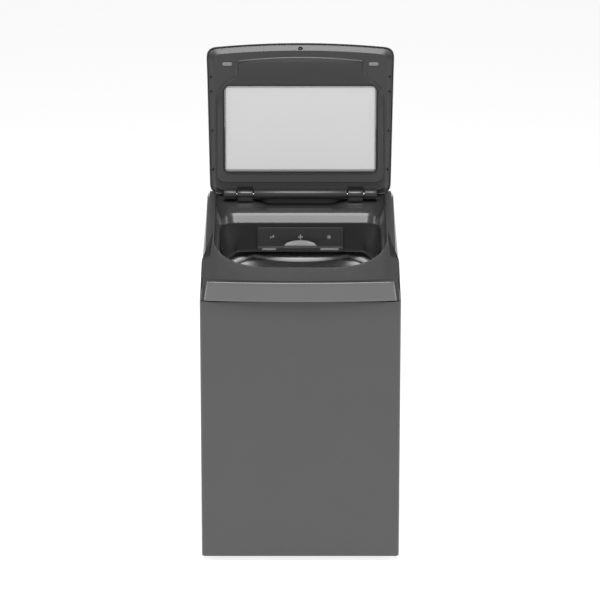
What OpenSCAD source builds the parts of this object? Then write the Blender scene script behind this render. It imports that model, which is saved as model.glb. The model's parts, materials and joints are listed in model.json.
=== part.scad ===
// Top load washing machine with a glass lid standing open, a sloping deck and a rear control pod.
// The origin is on the floor under the middle of the footprint, +Z up, front towards -Y.

/* [Cabinet] */
// Width of the cabinet at the seam under the top cover
body_w = 600; // [500:1:720]
// Depth from the bowed front strip to the rear hose unions
body_d = 640; // [533:1:768]
// Height of the seam between cabinet and top cover
seam_z = 828; // [690:1:994]
// Height of the cabinet's lower edge above the floor
ground_gap = 15; // [14:1:24]
// Thickness of the painted sheet
sheet_t = 1.2; // [0.8:0.1:2]
// Radius of the upright corners
corner_r = 12; // [8:1:20]
// Width of the folded flanges of the cabinet wrap
flange_w = 16; // [12:1:24]
// Reach of the hose unions behind the rear panel
rear_proud = 20; // [16:1:30]

/* [Top cover] */
// How far the front strip bows forward at the middle
front_bow = 15; // [8:1:25]
// Height of the front strip
strip_h = 60; // [40:1:72]
// Height of the top cover's front edge above the seam
cover_front_h = 64; // [57:1:80]
// Rise of the deck towards the rear, in degrees
deck_slope = 14; // [8:0.1:17]
// Wall of the moulded top cover
cover_wall = 3; // [2:0.1:4]
// Inward lean of the cover's side walls, in degrees
side_draft = 3.8; // [1:0.1:5]
// Deck left on each side of the laundry opening
deck_side = 36; // [30:1:50]
// Deck left in front of the laundry opening
deck_front = 76; // [60:1:95]
// Large radius of the opening's two front corners
mouth_corner_r = 165; // [100:1:170]
// Distance from the rear panel forward to the hinge axis
hinge_back = 100; // [90:1:120]

/* [Lid] */
// Thickness of the lid's rim
rim_t = 14; // [12:1:20]
// Gap between the deck and the rim of the closed lid
rim_gap = 4; // [3:0.5:6]
// Depth of the raised inner frame below the deck surface
frame_depth = 16; // [10:1:18]
// Distance from the lid's front edge back to the front of the cover
lid_setback = 49; // [20:1:60]
// Radius of the hinge barrels
barrel_r = 16; // [12:1:16]
// Radius of the hinge pins
pin_r = 4; // [3:0.5:5]
// Lean of the open lid behind upright, in degrees
lid_lean = 5; // [2:0.5:6]
// Thickness of the glass pane
glass_t = 4; // [3:0.5:5]
// Distance from the hinge axis to the near edge of the window
window_rear = 67; // [60:1:90]
// Length of the window from rear to front
window_l = 274; // [200:1:290]
// Half width of the window
window_half = 236; // [150:1:240]

/* [Dispenser] */
// Width of the drawer front
drawer_w = 265; // [180:1:290]
// Height of the drawer front
drawer_h = 76; // [64:1:80]
// Depth of the drawer behind its front
drawer_d = 108; // [80:1:112]
// Wall of the drawer and of its housing
tray_wall = 2.5; // [2:0.1:3]

/* [Tub and drive] */
// Free space between the tub and the cabinet
tub_gap = 28; // [22:1:40]
// Height of the tub floor above the ground
tub_floor_z = 250; // [240:1:280]
// Wall of the outer tub
tub_wall = 3; // [2.5:0.1:4]
// Free space between the basket and the tub wall
basket_gap = 14; // [10:1:20]
// Thickness of the basket's steel wall
basket_wall = 1.2; // [0.8:0.1:2]
// Width of the tub cover's ring from its outer edge to the mouth
cover_ring_w = 50; // [40:1:60]
// Height of the balance ring
balance_h = 56; // [40:1:70]
// Radius of the inner drive shaft
shaft_r = 10; // [8:0.5:12]
// Pitch radius of the drive pulley
drive_pulley_r = 72; // [60:1:80]
// Pitch radius of the motor pulley
motor_pulley_r = 24; // [18:1:28]
// Distance from the tub axis to the motor axis
motor_reach = 150; // [148:1:165]
// Radius of the suspension rods
rod_r = 4; // [3:0.5:5]

/* [Feet] */
// Radius of a foot's pad
pad_r = 22; // [18:1:28]
// Radius of a foot's threaded stem
stem_r = 5; // [4:0.5:6]
// Distance of a foot from the side of the cabinet
foot_inset = 60; // [55:1:80]

/* [Control pod] */
// Height of the control pod's top above the hinge axis
pod_h = 55; // [45:1:70]
// Gap on each side between the pod and the cabinet's width
pod_side = 32; // [28:1:60]
// Lean of the control face behind upright, in degrees
face_lean = 19; // [10:1:25]
// Radius of the programme knob
knob_r = 19; // [14:1:20]
// Travel of the push buttons
button_travel = 2; // [1:0.1:2.5]

/* [Fits] */
// Radial clearance of a turning or sliding fit
fit = 0.05; // [0.02:0.01:0.1]
// Free gap between pieces that move past each other
play = 0.4; // [0.3:0.1:1]

/* [Hidden] */
$fn = 64;
big = 2000;
eps = 0.01;

// Reference planes of the cabinet
y_front = -body_d / 2 + front_bow;
y_back = body_d / 2 - rear_proud;
y_mid = (y_front + y_back) / 2;
y_fore = -body_d / 2 - 20;
seam_half_gap = 0.8;
cabinet_top = seam_z - seam_half_gap;
cover_base = seam_z + seam_half_gap;

// The sloping deck and the hinge
hinge_y = y_back - hinge_back;
function deck(y) = seam_z + cover_front_h + (y - y_front) * tan(deck_slope);
hinge_z = deck(hinge_y);
ridge_y = hinge_y + 22;
ridge_z = deck(ridge_y);
rear_fall = 22;
function rear_deck(y) = ridge_z - (y - ridge_y) * tan(rear_fall);

// The front bow is a very shallow cone
bow_r = (body_w * body_w / 4 + front_bow * front_bow) / (2 * front_bow);
bow_tilt = 9;

// The laundry opening
mouth_half = body_w / 2 - deck_side;
mouth_front = y_front + deck_front;
skirt_back = hinge_y - 65;
skirt_z = seam_z + 24;
skirt_wall = 2.5;
rim_depth = 28;
ledge_drop = 40;

// Tub sizes, all derived from the space in the cabinet
tub_cover_r = min(body_w / 2, (y_back - y_front) / 2) - sheet_t - tub_gap;
tub_r = tub_cover_r - 4;
tub_top = seam_z - 4;
tub_cover_top = tub_top + 10;
mouth_r = tub_cover_r - cover_ring_w;
basket_r = tub_r - tub_wall - basket_gap;
basket_floor = tub_floor_z + 26;
basket_top = tub_top - 62 + balance_h;
balance_in = mouth_r - 10;
tube_r = shaft_r + 6;
seal_r = tube_r + 12;
bearing_r = tube_r + 14;
belt_z = tub_floor_z - 132;
belt_w = 12;
belt_t = 7;
rotor_r = 35;
rotor_gap = 0.6;
stator_r = 62;
motor_y = y_mid + motor_reach;
bracket_t = 6;
gear_flange_t = 6;

// Suspension rods stand in the cabinet's four corners
rod_x = body_w / 2 - 75;
rod_y = (y_back - y_front) / 2 - 76;
rod_bottom = tub_floor_z - 35;
rod_top = seam_z - 40;
lug_z = tub_floor_z + 45;
cup_r = 20;
cup_h = 30;
corners = [[-1, -1], [1, -1], [-1, 1], [1, 1]];

// Feet
foot_x = body_w / 2 - foot_inset;
foot_y = (y_back - y_front) / 2 - foot_inset;
pad_h = 8;
nut_t = 4.5;
base_h = 32;

// Drain line
drain_x = 140;
drain_z = tub_floor_z - 48;
drain_r = 11;
pump_y = y_mid + 112;
pump_r = 34;

// Lid sizes in the lid's own plane, with the hinge axis at its origin and the front towards -Y
lid_l = (hinge_y - y_front - lid_setback) / cos(deck_slope);
lid_rear_half = body_w / 2 - 20.5;
lid_front_half = body_w / 2 - 11;
lid_corner_r = 25;
lid_arch = 15;
arch_r = (lid_front_half * lid_front_half + lid_arch * lid_arch) / (2 * lid_arch);
rim_top = rim_gap + rim_t;
lid_wall = 2.5;
seal_t = 3;
frame_half = mouth_half - 3;
frame_rear = 42;
frame_front = lid_l - 75;
knuckle_in = 146;
knuckle_out = 196;
block_out = 237;
side_gap = 1;
latch_u = lid_l - 16;
bumper_u = lid_l - 66;

// Dispenser
drawer_z = seam_z + 65;
port_half_w = drawer_w / 2 - 10;
port_half_h = drawer_h / 2 - 6;
skirt_face = skirt_back - 1 - skirt_wall;
drawer_front_t = 5;
housing_back = skirt_back + drawer_d + 8;

// Control pod
pod_y = ridge_y + 20;
pod_top = hinge_z + pod_h;
pod_half = body_w / 2 - pod_side;
pod_wall = 2.5;
face_y0 = pod_y + 2;
face_z0 = rear_deck(pod_y) + 4;
face_l = (pod_top - 4 - face_z0) / cos(face_lean);
panel_half = pod_half - 22;
panel_t = 2;
panel_s = face_l / 2;
panel_h = face_l - 10;
knob_x = 150;
power_x = -180;
start_x = 215;
window_x = -20;
button_r = 8;
board_drop = 15;

// Water connections
valve_x = 60;
valve_z = drawer_z + 4;
union_r = 13.2;

screw_r = 1.6;
head_r = 3.2;

painted = [0.39, 0.39, 0.4];
dark_plastic = [0.28, 0.28, 0.29];

// ---- shared outlines and placements ----

module side_extrude(width) {
    rotate([90, 0, 90])
        linear_extrude(width, center = true)
            children();
}

module cabinet_2d(inset) {
    translate([0, y_mid])
        offset(r = corner_r - min(inset, corner_r - 2))
            square([body_w - 2 * corner_r - 2 * max(0, inset - corner_r + 2),
                    y_back - y_front - 2 * corner_r - 2 * max(0, inset - corner_r + 2)], center = true);
}

// Solid inside the bowed front surface, moved inwards by inset
module bow_solid(inset) {
    height = pod_top + 40 - seam_z;
    lean = bow_tilt * height / strip_h;
    translate([0, -body_d / 2 + bow_r, seam_z])
        cylinder(r1 = bow_r - inset, r2 = bow_r - inset - lean, h = height, $fn = 720);
}

module mouth_2d(rear, rear_r, inset) {
    front_r = mouth_corner_r - inset;
    hull() {
        for (s = [-1, 1]) {
            translate([s * (mouth_half - mouth_corner_r), mouth_front + mouth_corner_r])
                circle(front_r, $fn = 96);
            translate([s * (mouth_half - rear_r), rear - rear_r])
                circle(rear_r - min(inset, rear_r - 1), $fn = 32);
        }
    }
}

// Places children drawn in the lid's plane at the lid's rest position
module in_lid() {
    translate([0, hinge_y, hinge_z])
        rotate([-90 - lid_lean, 0, 0])
            children();
}

module lid_slab(z0, z1, inset) {
    translate([0, 0, z0])
        linear_extrude(z1 - z0)
            lid_2d(inset);
}

module lid_2d(inset) {
    r = lid_corner_r;
    offset(r = r - inset)
        intersection() {
            polygon([[-lid_rear_half + r + 26, -2 - r], [lid_rear_half - r - 26, -2 - r],
                     [lid_rear_half - r, -16 - r], [lid_front_half - r, -lid_l - r],
                     [-lid_front_half + r, -lid_l - r], [-lid_rear_half + r, -16 - r]]);
            translate([0, -lid_l + arch_r])
                circle(arch_r - r, $fn = 720);
        }
}

module window_2d(grow) {
    r = 20;
    translate([0, -window_rear - window_l / 2])
        offset(r = r + grow)
            square([2 * (window_half - r), window_l - 2 * r], center = true);
}

// The raised frame follows the laundry opening with a free gap
module frame_2d(inset) {
    offset(delta = -inset)
        intersection() {
            translate([-frame_half, -frame_front])
                square([2 * frame_half, frame_front - frame_rear]);
            scale([1, 1 / cos(deck_slope)])
                translate([0, -hinge_y])
                    mouth_2d(hinge_y + 60, 40, 4);
        }
}

// Places children on the control face: X across, Y up the face, Z outwards
module on_face(x, s) {
    translate([x, face_y0 + s * sin(face_lean), face_z0 + s * cos(face_lean)])
        rotate([90 - face_lean, 0, 0])
            children();
}

module ring(r_out, r_in, h) {
    difference() {
        cylinder(r = r_out, h = h);
        translate([0, 0, -1])
            cylinder(r = r_in, h = h + 2);
    }
}

module at_feet() {
    for (c = corners)
        translate([c[0] * foot_x, y_mid + c[1] * foot_y, 0])
            children();
}

module at_rods() {
    for (c = corners)
        translate([c[0] * rod_x, y_mid + c[1] * rod_y, 0])
            children();
}

// ---- cabinet ----

module cabinet_shell() {
    h = cabinet_top - ground_gap;
    color(painted)
    difference() {
        translate([0, 0, ground_gap])
            linear_extrude(h)
                cabinet_2d(0);
        translate([0, 0, ground_gap + sheet_t])
            linear_extrude(h - 2 * sheet_t)
                cabinet_2d(sheet_t);
        translate([0, 0, ground_gap - 1])
            linear_extrude(h + 2)
                cabinet_2d(flange_w);
        translate([-body_w / 2 + flange_w, y_back - 3 * sheet_t, ground_gap - 1])
            cube([body_w - 2 * flange_w, big, h + 2]);
        translate([-big / 2, y_back - sheet_t, ground_gap - 1])
            cube([big, big, h + 2]);
    }
}

module rear_panel() {
    half = body_w / 2 - 6;
    color("silver")
    difference() {
        union() {
            translate([-half, y_back - sheet_t + eps, ground_gap + 2])
                cube([2 * half, sheet_t - eps, cabinet_top - ground_gap - 4]);
            for (z = [0.3, 0.5, 0.7])
                translate([-half + 50, y_back - 5, z * seam_z])
                    cube([2 * half - 100, 5 - sheet_t + 2 * eps, 14]);
        }
        translate([drain_x, y_back - 10, drain_z])
            rotate([-90, 0, 0])
                cylinder(r = drain_r + 4, h = 20);
        translate([-body_w / 2 + 80, y_back - 10, seam_z - 90])
            rotate([-90, 0, 0])
                cylinder(r = 9, h = 20);
    }
}

module base_frame() {
    z = ground_gap + sheet_t;
    color("dimgray")
    difference() {
        union() {
            translate([0, 0, z])
                linear_extrude(base_h)
                    difference() {
                        cabinet_2d(sheet_t + 2);
                        cabinet_2d(sheet_t + 6);
                    }
            translate([0, 0, z])
                linear_extrude(3)
                    difference() {
                        cabinet_2d(sheet_t + 2);
                        cabinet_2d(38);
                    }
            intersection() {
                at_feet()
                    translate([0, 0, z])
                        cylinder(r = 40, h = base_h);
                translate([0, 0, z])
                    linear_extrude(base_h)
                        cabinet_2d(sheet_t + 4);
            }
        }
        at_feet()
            cylinder(r = stem_r + fit, h = 200);
    }
}

module corner_brackets() {
    reach = 120;
    color("silver")
    difference() {
        intersection() {
            translate([0, 0, rod_top - 6])
                linear_extrude(4)
                    cabinet_2d(sheet_t);
            translate([0, 0, rod_top - 7])
                linear_extrude(6)
                    for (c = corners)
                        translate([c[0] * body_w / 2, y_mid + c[1] * (y_back - y_front) / 2])
                            rotate(45)
                                square(reach * sqrt(2), center = true);
            translate([-big / 2, -big / 2, 0])
                cube([big, big / 2 + y_back - 6, big]);
        }
        at_rods()
            translate([0, 0, rod_top - 10])
                cylinder(r = rod_r + 1, h = 20);
        translate([0, y_mid, 0])
            cylinder(r = tub_cover_r + 12, h = big, $fn = 128);
    }
}

module foot_locknuts() {
    color("silver")
    difference() {
        at_feet()
            translate([0, 0, ground_gap - nut_t - 0.1])
                cylinder(r = 2 * stem_r, h = nut_t, $fn = 6);
        at_feet()
            cylinder(r = stem_r + fit, h = 200);
    }
}

module foot(sx, sy) {
    color("black")
        translate([sx * foot_x, y_mid + sy * foot_y, 0]) {
            rotate_extrude()
                polygon([[0, 0], [pad_r - 2, 0], [pad_r, 2], [pad_r, pad_h - 3], [pad_r - 5, pad_h],
                         [0, pad_h]]);
            cylinder(r = stem_r, h = ground_gap + base_h + 14);
        }
}

module rod_group() {
    at_rods() {
        translate([0, 0, rod_bottom])
            cylinder(r = rod_r, h = rod_top - rod_bottom);
        translate([0, 0, rod_bottom])
            cylinder(r = cup_r - 3, h = 4);
        translate([0, 0, rod_top - 2])
            cylinder(r1 = rod_r + 7, r2 = rod_r + 2, h = 8);
    }
}

module suspension_rods() {
    color("silver")
        rod_group();
}

module suspension_springs() {
    spring_h = lug_z - cup_h - rod_bottom - 4;
    wire_r = 1.6;
    turns = 6;
    pitch = (spring_h - 2 * wire_r - 0.6) / (turns - 1);
    color("gray")
        at_rods()
            for (i = [0:turns - 1])
                translate([0, 0, rod_bottom + 4.3 + wire_r + i * pitch])
                    rotate_extrude()
                        translate([cup_r - 7, 0])
                            circle(wire_r, $fn = 16);
}

module cord_gland() {
    color("black")
        translate([-body_w / 2 + 80, y_back, seam_z - 90])
            rotate([-90, 0, 0])
                difference() {
                    union() {
                        translate([0, 0, -14])
                            cylinder(r = 8.9, h = 20);
                        cylinder(r = 13, h = 3);
                        translate([0, 0, -sheet_t - 5])
                            cylinder(r = 12, h = 5);
                    }
                    translate([0, 0, -20])
                        cylinder(r = 4.2, h = 60);
                }
}

module drain_outlet() {
    color("gray")
        translate([drain_x, y_back, drain_z])
            rotate([-90, 0, 0])
                difference() {
                    union() {
                        translate([0, 0, -26])
                            cylinder(r = drain_r, h = 26 + rear_proud);
                        cylinder(r = drain_r + 9, h = 3);
                    }
                    translate([0, 0, -50])
                        cylinder(r = drain_r - 2.5, h = 100);
                }
}

module drain_hose() {
    y0 = pump_y + pump_r + 12;
    color("darkgray")
        translate([drain_x, y0, drain_z])
            rotate([-90, 0, 0])
                ring(drain_r + 3, drain_r + play, y_back - 8 - y0);
}

module cabinet_screws() {
    xs = body_w / 2 - 11;
    color("silver") {
        for (s = [-1, 1])
            for (k = [0.1, 0.37, 0.63, 0.9])
                translate([s * xs, y_back, ground_gap + k * (seam_z - ground_gap)])
                    rotate([-90, 0, 0])
                        cylinder(r = 4, h = 2.2);
    }
}

// ---- top ----

// Outside form of the top cover, moved inwards by inset
module cover_solid(inset) {
    top_half = body_w / 2 - inset - (pod_top - seam_z) * tan(side_draft);
    intersection() {
        translate([0, 0, cover_base - (inset > 0 ? 1 : 0)])
            linear_extrude(big)
                intersection() {
                    translate([-body_w / 2 + inset, -body_d / 2 - 50])
                        square([body_w - 2 * inset, y_back - inset + body_d / 2 + 50]);
                    translate([0, (y_back - inset) - big])
                        offset(r = 30)
                            translate([0, big / 2 - 30])
                                square([body_w - 60 - 2 * inset, big], center = true);
                }
        bow_solid(inset + (inset > 0 ? 5.3 : 0));
        side_extrude(body_w + 10)
            polygon([[y_fore, seam_z - 5], [y_fore, deck(y_fore) - inset],
                     [ridge_y, ridge_z - inset], [y_back + 1, rear_deck(y_back + 1) - inset],
                     [y_back + 1, seam_z - 5]]);
        translate([0, big / 2, 0])
            rotate([90, 0, 0])
                linear_extrude(big)
                    polygon([[-body_w / 2 + inset, seam_z - 5], [body_w / 2 - inset, seam_z - 5],
                             [body_w / 2 - inset, seam_z], [top_half, pod_top],
                             [-top_half, pod_top], [-body_w / 2 + inset, seam_z]]);
    }
}

module mouth_prism(rear, rear_r, inset) {
    translate([0, 0, seam_z - 60])
        linear_extrude(big)
            mouth_2d(rear, rear_r, inset);
}

// Rear ledge: a steep band, a gentle shelf and the trough under the lid's hinge barrels
module rear_ledge() {
    step_y = skirt_back + 18;
    step_z = deck(step_y) - ledge_drop + 7;
    upper = [[skirt_back, step_z - 27], [step_y, step_z], [hinge_y - 21, step_z + 4],
             [hinge_y - 19, hinge_z - 21.5],
             [hinge_y + 4, hinge_z - 21.5], [ridge_y, hinge_z - 7], [ridge_y, ridge_z - 1]];
    lower = [for (i = [len(upper) - 1:-1:0]) upper[i] + [cover_wall, -cover_wall]];
    side_extrude(2 * mouth_half + 2)
        polygon(concat(upper, lower));
}

module top_cover() {
    color(dark_plastic)
    difference() {
        union() {
            difference() {
                cover_solid(0);
                cover_solid(cover_wall);
                mouth_prism(ridge_y, 12, 0);
            }
            intersection() {
                cover_solid(0);
                difference() {
                    mouth_prism(ridge_y + cover_wall, 12 + cover_wall, -cover_wall);
                    mouth_prism(ridge_y, 12, 0);
                }
                side_extrude(body_w)
                    polygon([[y_fore, deck(y_fore)], [y_fore, deck(y_fore) - rim_depth],
                             [ridge_y + 10, deck(ridge_y + 10) - rim_depth],
                             [ridge_y + 10, deck(ridge_y + 10)]]);
            }
            rear_ledge();
        }
        // pocket for the front strip
        difference() {
            translate([-body_w / 2 + 12 - play, y_fore, cover_base - 1])
                cube([body_w - 24 + 2 * play, y_front + 20 - y_fore, strip_h + play]);
            bow_solid(5.3);
        }
        // raised-edge relief along both shoulders
        for (s = [-1, 1])
            translate([s * (body_w / 2 - 3), y_mid - 160, deck(y_mid - 160) + 4])
                rotate([deck_slope, 0, s * 1.2])
                    rotate([0, s * 42, 0])
                        translate([-12, 0, 0])
                            cube([24, ridge_y - y_mid + 154, 40]);
        // openings through the rear wall for the water unions
        for (s = [-1, 1])
            translate([s * valve_x, y_back - 20, valve_z])
                rotate([-90, 0, 0])
                    cylinder(r = union_r + 1.5, h = 40);
    }
}

module front_fascia() {
    color(painted)
    intersection() {
        difference() {
            bow_solid(0);
            bow_solid(5);
        }
        translate([-body_w / 2 + 12, -big, cover_base])
            cube([body_w - 24, big, strip_h - 1]);
    }
}

module inner_skirt() {
    rear_top = deck(skirt_back + 18) - ledge_drop + 7 - 29;
    color([0.22, 0.22, 0.23])
    difference() {
        intersection() {
            difference() {
                translate([0, 0, skirt_z])
                    linear_extrude(big)
                        mouth_2d(skirt_back, 45, 1);
                translate([0, 0, skirt_z + skirt_wall])
                    linear_extrude(big)
                        mouth_2d(skirt_back, 45, 1 + skirt_wall);
                translate([0, 0, skirt_z - 1])
                    linear_extrude(10)
                        intersection() {
                            translate([0, y_mid])
                                circle(mouth_r + 6, $fn = 128);
                            translate([-big / 2, -big + skirt_back - 14])
                                square([big, big]);
                        }
            }
            side_extrude(body_w)
                polygon([[y_fore, skirt_z - 1], [y_fore, deck(y_fore) - frame_depth - 4],
                         [skirt_back - 28, deck(skirt_back - 28) - frame_depth - 4],
                         [skirt_back - 10, rear_top], [skirt_back + 5, rear_top],
                         [skirt_back + 5, skirt_z - 1]]);
        }
        translate([-port_half_w, skirt_back - 20, drawer_z - port_half_h])
            cube([2 * port_half_w, 40, 2 * port_half_h]);
    }
}

module hinge_blocks() {
    color(dark_plastic)
        for (s = [-1, 1])
            difference() {
                union() {
                    translate([s * (knuckle_in + knuckle_out) / 2, hinge_y, hinge_z])
                        rotate([0, 90, 0])
                            cylinder(r = barrel_r - 2, h = knuckle_out - knuckle_in, center = true);
                    translate([s * (knuckle_in + knuckle_out) / 2, hinge_y, hinge_z - 21.4 + 10])
                        translate([0, -4, 0])
                            cube([knuckle_out - knuckle_in, 14, 20], center = true);
                }
                translate([0, hinge_y, hinge_z])
                    rotate([0, 90, 0])
                        cylinder(r = pin_r, h = big, center = true);
            }
}

module hinge_pins() {
    color("silver")
        for (s = [-1, 1])
            translate([s * (knuckle_in - 14 + block_out - 2) / 2, hinge_y, hinge_z])
                rotate([0, 90, 0])
                    cylinder(r = pin_r, h = block_out - knuckle_in + 12, center = true);
}

// ---- control pod ----

module pod_solid(inset) {
    intersection() {
        side_extrude(2 * (pod_half - inset))
            polygon([[pod_y + inset, rear_deck(pod_y + inset) + (inset > 0 ? -inset : 0.1)],
                     [face_y0 + inset, face_z0],
                     [face_y0 + inset + face_l * sin(face_lean), pod_top - 4],
                     [face_y0 + inset + face_l * sin(face_lean) + 4, pod_top - inset],
                     [y_back - 8 - inset, pod_top - inset], [y_back - 1 - inset, pod_top - 8],
                     [y_back - 1 - inset, rear_deck(y_back - 1 - inset) + (inset > 0 ? -inset : 0.1)]]);
        translate([0, 0, hinge_z - 100])
            linear_extrude(big)
                translate([0, y_back - 1 - inset - 200])
                    offset(r = 18)
                        square([2 * (pod_half - inset - 18), 400 - 36], center = true);
    }
}

module console_housing() {
    color(dark_plastic)
    difference() {
        pod_solid(0);
        pod_solid(pod_wall);
        on_face(0, panel_s)
            translate([0, 0, 0])
                cube([2 * panel_half + play, panel_h + play, 30], center = true);
    }
}

module console_panel() {
    color([0.08, 0.08, 0.09])
    difference() {
        on_face(0, panel_s)
            translate([0, 0, -panel_t / 2])
                cube([2 * panel_half, panel_h, panel_t], center = true);
        on_face(knob_x, panel_s)
            cylinder(r = 4, h = 20, center = true);
        on_face(power_x, panel_s)
            cylinder(r = button_r + play, h = 20, center = true);
        on_face(start_x, panel_s)
            cylinder(r = button_r + play, h = 20, center = true);
        on_face(window_x, panel_s)
            cube([110, 26, 20], center = true);
    }
}

module display_window() {
    color([0.05, 0.06, 0.08])
        on_face(window_x, panel_s)
            translate([0, 0, -panel_t / 2 + 0.3])
                cube([110, 26, panel_t], center = true);
}

module control_board() {
    color("darkgreen")
        on_face(0, panel_s)
            translate([0, 0, -board_drop])
                cube([2 * panel_half - 60, panel_h - 12, 1.6], center = true);
}

module programme_knob() {
    color("silver")
        on_face(knob_x, panel_s) {
            translate([0, 0, 1])
                rotate_extrude()
                    polygon([[0, 0], [knob_r, 0], [knob_r, 3], [knob_r - 3, 4], [knob_r - 4, 14],
                             [knob_r - 6, 15], [0, 15]]);
            translate([0, 0, -board_drop + 2.5])
                cylinder(r = 3, h = board_drop);
        }
}

module button() {
    rotate_extrude()
        polygon([[0, -board_drop + 3.5], [2.5, -board_drop + 3.5], [2.5, -panel_t - 3],
                 [button_r + 2, -panel_t - 3], [button_r + 2, -panel_t - 1], [button_r, -panel_t - 1],
                 [button_r, button_travel], [button_r - 0.8, button_travel + 0.8],
                 [0, button_travel + 0.8]]);
}

module power_button() {
    color("white")
        on_face(power_x, panel_s)
            button();
}

module start_button() {
    color("white")
        on_face(start_x, panel_s)
            button();
}

// ---- dispenser, valves and small electrics ----

module dispenser_housing() {
    half_w = port_half_w + 6;
    half_h = port_half_h + 6;
    color("gray")
    difference() {
        translate([-half_w, skirt_back - 1 + eps, drawer_z - half_h])
            cube([2 * half_w, housing_back - skirt_back + 1, 2 * half_h]);
        translate([-port_half_w, skirt_back - 10, drawer_z - port_half_h])
            cube([2 * port_half_w, housing_back - skirt_back + 7, 2 * port_half_h]);
    }
}

module dispenser_drawer() {
    w = 2 * (port_half_w - 0.8);
    h = 2 * (port_half_h - 0.8);
    y0 = skirt_face - play - drawer_front_t;
    recess_r = 52;
    color([0.24, 0.24, 0.25])
    difference() {
        union() {
            translate([-drawer_w / 2, y0, drawer_z - drawer_h / 2])
                cube([drawer_w, drawer_front_t, drawer_h]);
            translate([-w / 2, y0 + drawer_front_t - eps, drawer_z - h / 2])
                cube([w, drawer_d, h]);
            translate([-drawer_w / 2, y0 - 8, drawer_z - drawer_h / 2])
                cube([drawer_w, 9, 16]);
        }
        for (i = [-1:1])
            translate([i * (w - tray_wall) / 3 - (w - 4 * tray_wall) / 6,
                       y0 + drawer_front_t + 6, drawer_z - h / 2 + tray_wall])
                cube([(w - 4 * tray_wall) / 3, drawer_d - 6 - tray_wall, h]);
        intersection() {
            translate([0, y0 - 1, drawer_z - drawer_h / 2 + 17])
                rotate([-90, 0, 0])
                    cylinder(r = recess_r, h = drawer_front_t + 4);
            translate([-100, y0 - 20, drawer_z - drawer_h / 2 + 17])
                cube([200, 40, 22]);
        }
    }
}

module inlet_valves() {
    y0 = housing_back + 1;
    color("white")
        for (s = [-1, 1])
            translate([s * valve_x, y0, valve_z])
                rotate([-90, 0, 0])
                    difference() {
                        union() {
                            translate([-18, -18, 0])
                                cube([36, 36, y_back - 12 - y0]);
                            cylinder(r = union_r, h = y_back + rear_proud - y0);
                        }
                        translate([0, 0, y_back - 20 - y0])
                            cylinder(r = union_r - 4, h = 100);
                    }
}

module pressure_switch() {
    color("white")
        translate([190, y_back - 50, seam_z + 30])
            rotate_extrude()
                polygon([[0, 0], [4, 0], [4, 10], [24, 10], [24, 26], [14, 32], [0, 32]]);
}

module lid_lock() {
    y = mouth_front - cover_wall - 18;
    color("black")
        translate([-30, y, deck(y) - cover_wall * 1.2 - 22])
            cube([60, 16, 22]);
}

// ---- suspended tub ----

module outer_tub() {
    color("lightgray")
    difference() {
        union() {
            translate([0, y_mid, 0])
                rotate_extrude($fn = 128)
                    polygon([[seal_r, tub_floor_z], [tub_r - 14, tub_floor_z], [tub_r, tub_floor_z + 14],
                             [tub_r, tub_top], [tub_r - tub_wall, tub_top],
                             [tub_r - tub_wall, tub_floor_z + 16], [tub_r - 16, tub_floor_z + 4],
                             [seal_r + 10, tub_floor_z + 4], [seal_r + 10, tub_floor_z + 8],
                             [seal_r, tub_floor_z + 8]]);
            difference() {
                for (c = corners)
                    translate([0, y_mid, lug_z])
                        linear_extrude(8)
                            hull() {
                                translate([c[0] * rod_x, c[1] * rod_y])
                                    circle(cup_r, $fn = 32);
                                translate([c[0] * rod_x * 0.6, c[1] * rod_y * 0.6])
                                    circle(cup_r + 8, $fn = 32);
                            }
                translate([0, y_mid, 0])
                    cylinder(r = tub_r - tub_wall / 2, h = big, $fn = 128);
            }
        }
        at_rods()
            cylinder(r = rod_r + 2, h = tub_top);
    }
}

module tub_cover() {
    chord_y = skirt_back + 36 - y_mid;
    color("lightgray")
        translate([0, y_mid, 0])
            difference() {
                union() {
                    translate([0, 0, tub_top])
                        cylinder(r = tub_cover_r, h = tub_cover_top - tub_top, $fn = 128);
                    translate([0, 0, tub_top - 16])
                        cylinder(r = tub_cover_r, h = 17, $fn = 128);
                }
                translate([0, 0, tub_top - 20])
                    cylinder(r = tub_r + 0.3, h = 20, $fn = 128);
                translate([0, 0, tub_top - 1])
                    cylinder(r = mouth_r + 24, h = 7, $fn = 128);
                intersection() {
                    translate([0, 0, tub_top - 30])
                        cylinder(r = mouth_r, h = 60, $fn = 128);
                    translate([-big / 2, -big + chord_y, 0])
                        cube([big, big, big]);
                }
            }
}

module spring_cups() {
    color("white")
        at_rods()
            difference() {
                translate([0, 0, lug_z - cup_h])
                    cylinder(r = cup_r - 1, h = cup_h);
                translate([0, 0, lug_z - cup_h - 1])
                    cylinder(r = cup_r - 3, h = cup_h - 5);
                cylinder(r = rod_r + fit, h = big);
            }
}

module motor_bracket() {
    color("silver")
    difference() {
        translate([0, 0, tub_floor_z - bracket_t])
            linear_extrude(bracket_t - eps)
                hull() {
                    translate([0, y_mid])
                        circle(95);
                    translate([0, motor_y])
                        circle(stator_r + 12);
                    translate([-134, y_mid - 30])
                        square([48, 60]);
                }
        translate([0, y_mid, 0])
            cylinder(r = bearing_r + 2, h = big);
    }
}

module gearbox_housing() {
    top = tub_floor_z - bracket_t;
    color("darkgray")
        translate([0, y_mid, 0])
            difference() {
                union() {
                    translate([0, 0, top - gear_flange_t])
                        cylinder(r = 80, h = gear_flange_t - eps);
                    translate([0, 0, top - 92])
                        cylinder(r = 55, h = 90);
                }
                translate([0, 0, top - 100])
                    cylinder(r = bearing_r, h = 200);
            }
}

module main_bearings() {
    top = tub_floor_z - bracket_t;
    color("silver")
        translate([0, y_mid, 0])
            for (z = [top - 17, top - 90])
                translate([0, 0, z])
                    ring(bearing_r, tube_r + fit, 15);
}

module shaft_seal() {
    color("black")
        translate([0, y_mid, tub_floor_z - 3])
            ring(seal_r, tube_r + fit, 11);
}

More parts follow.
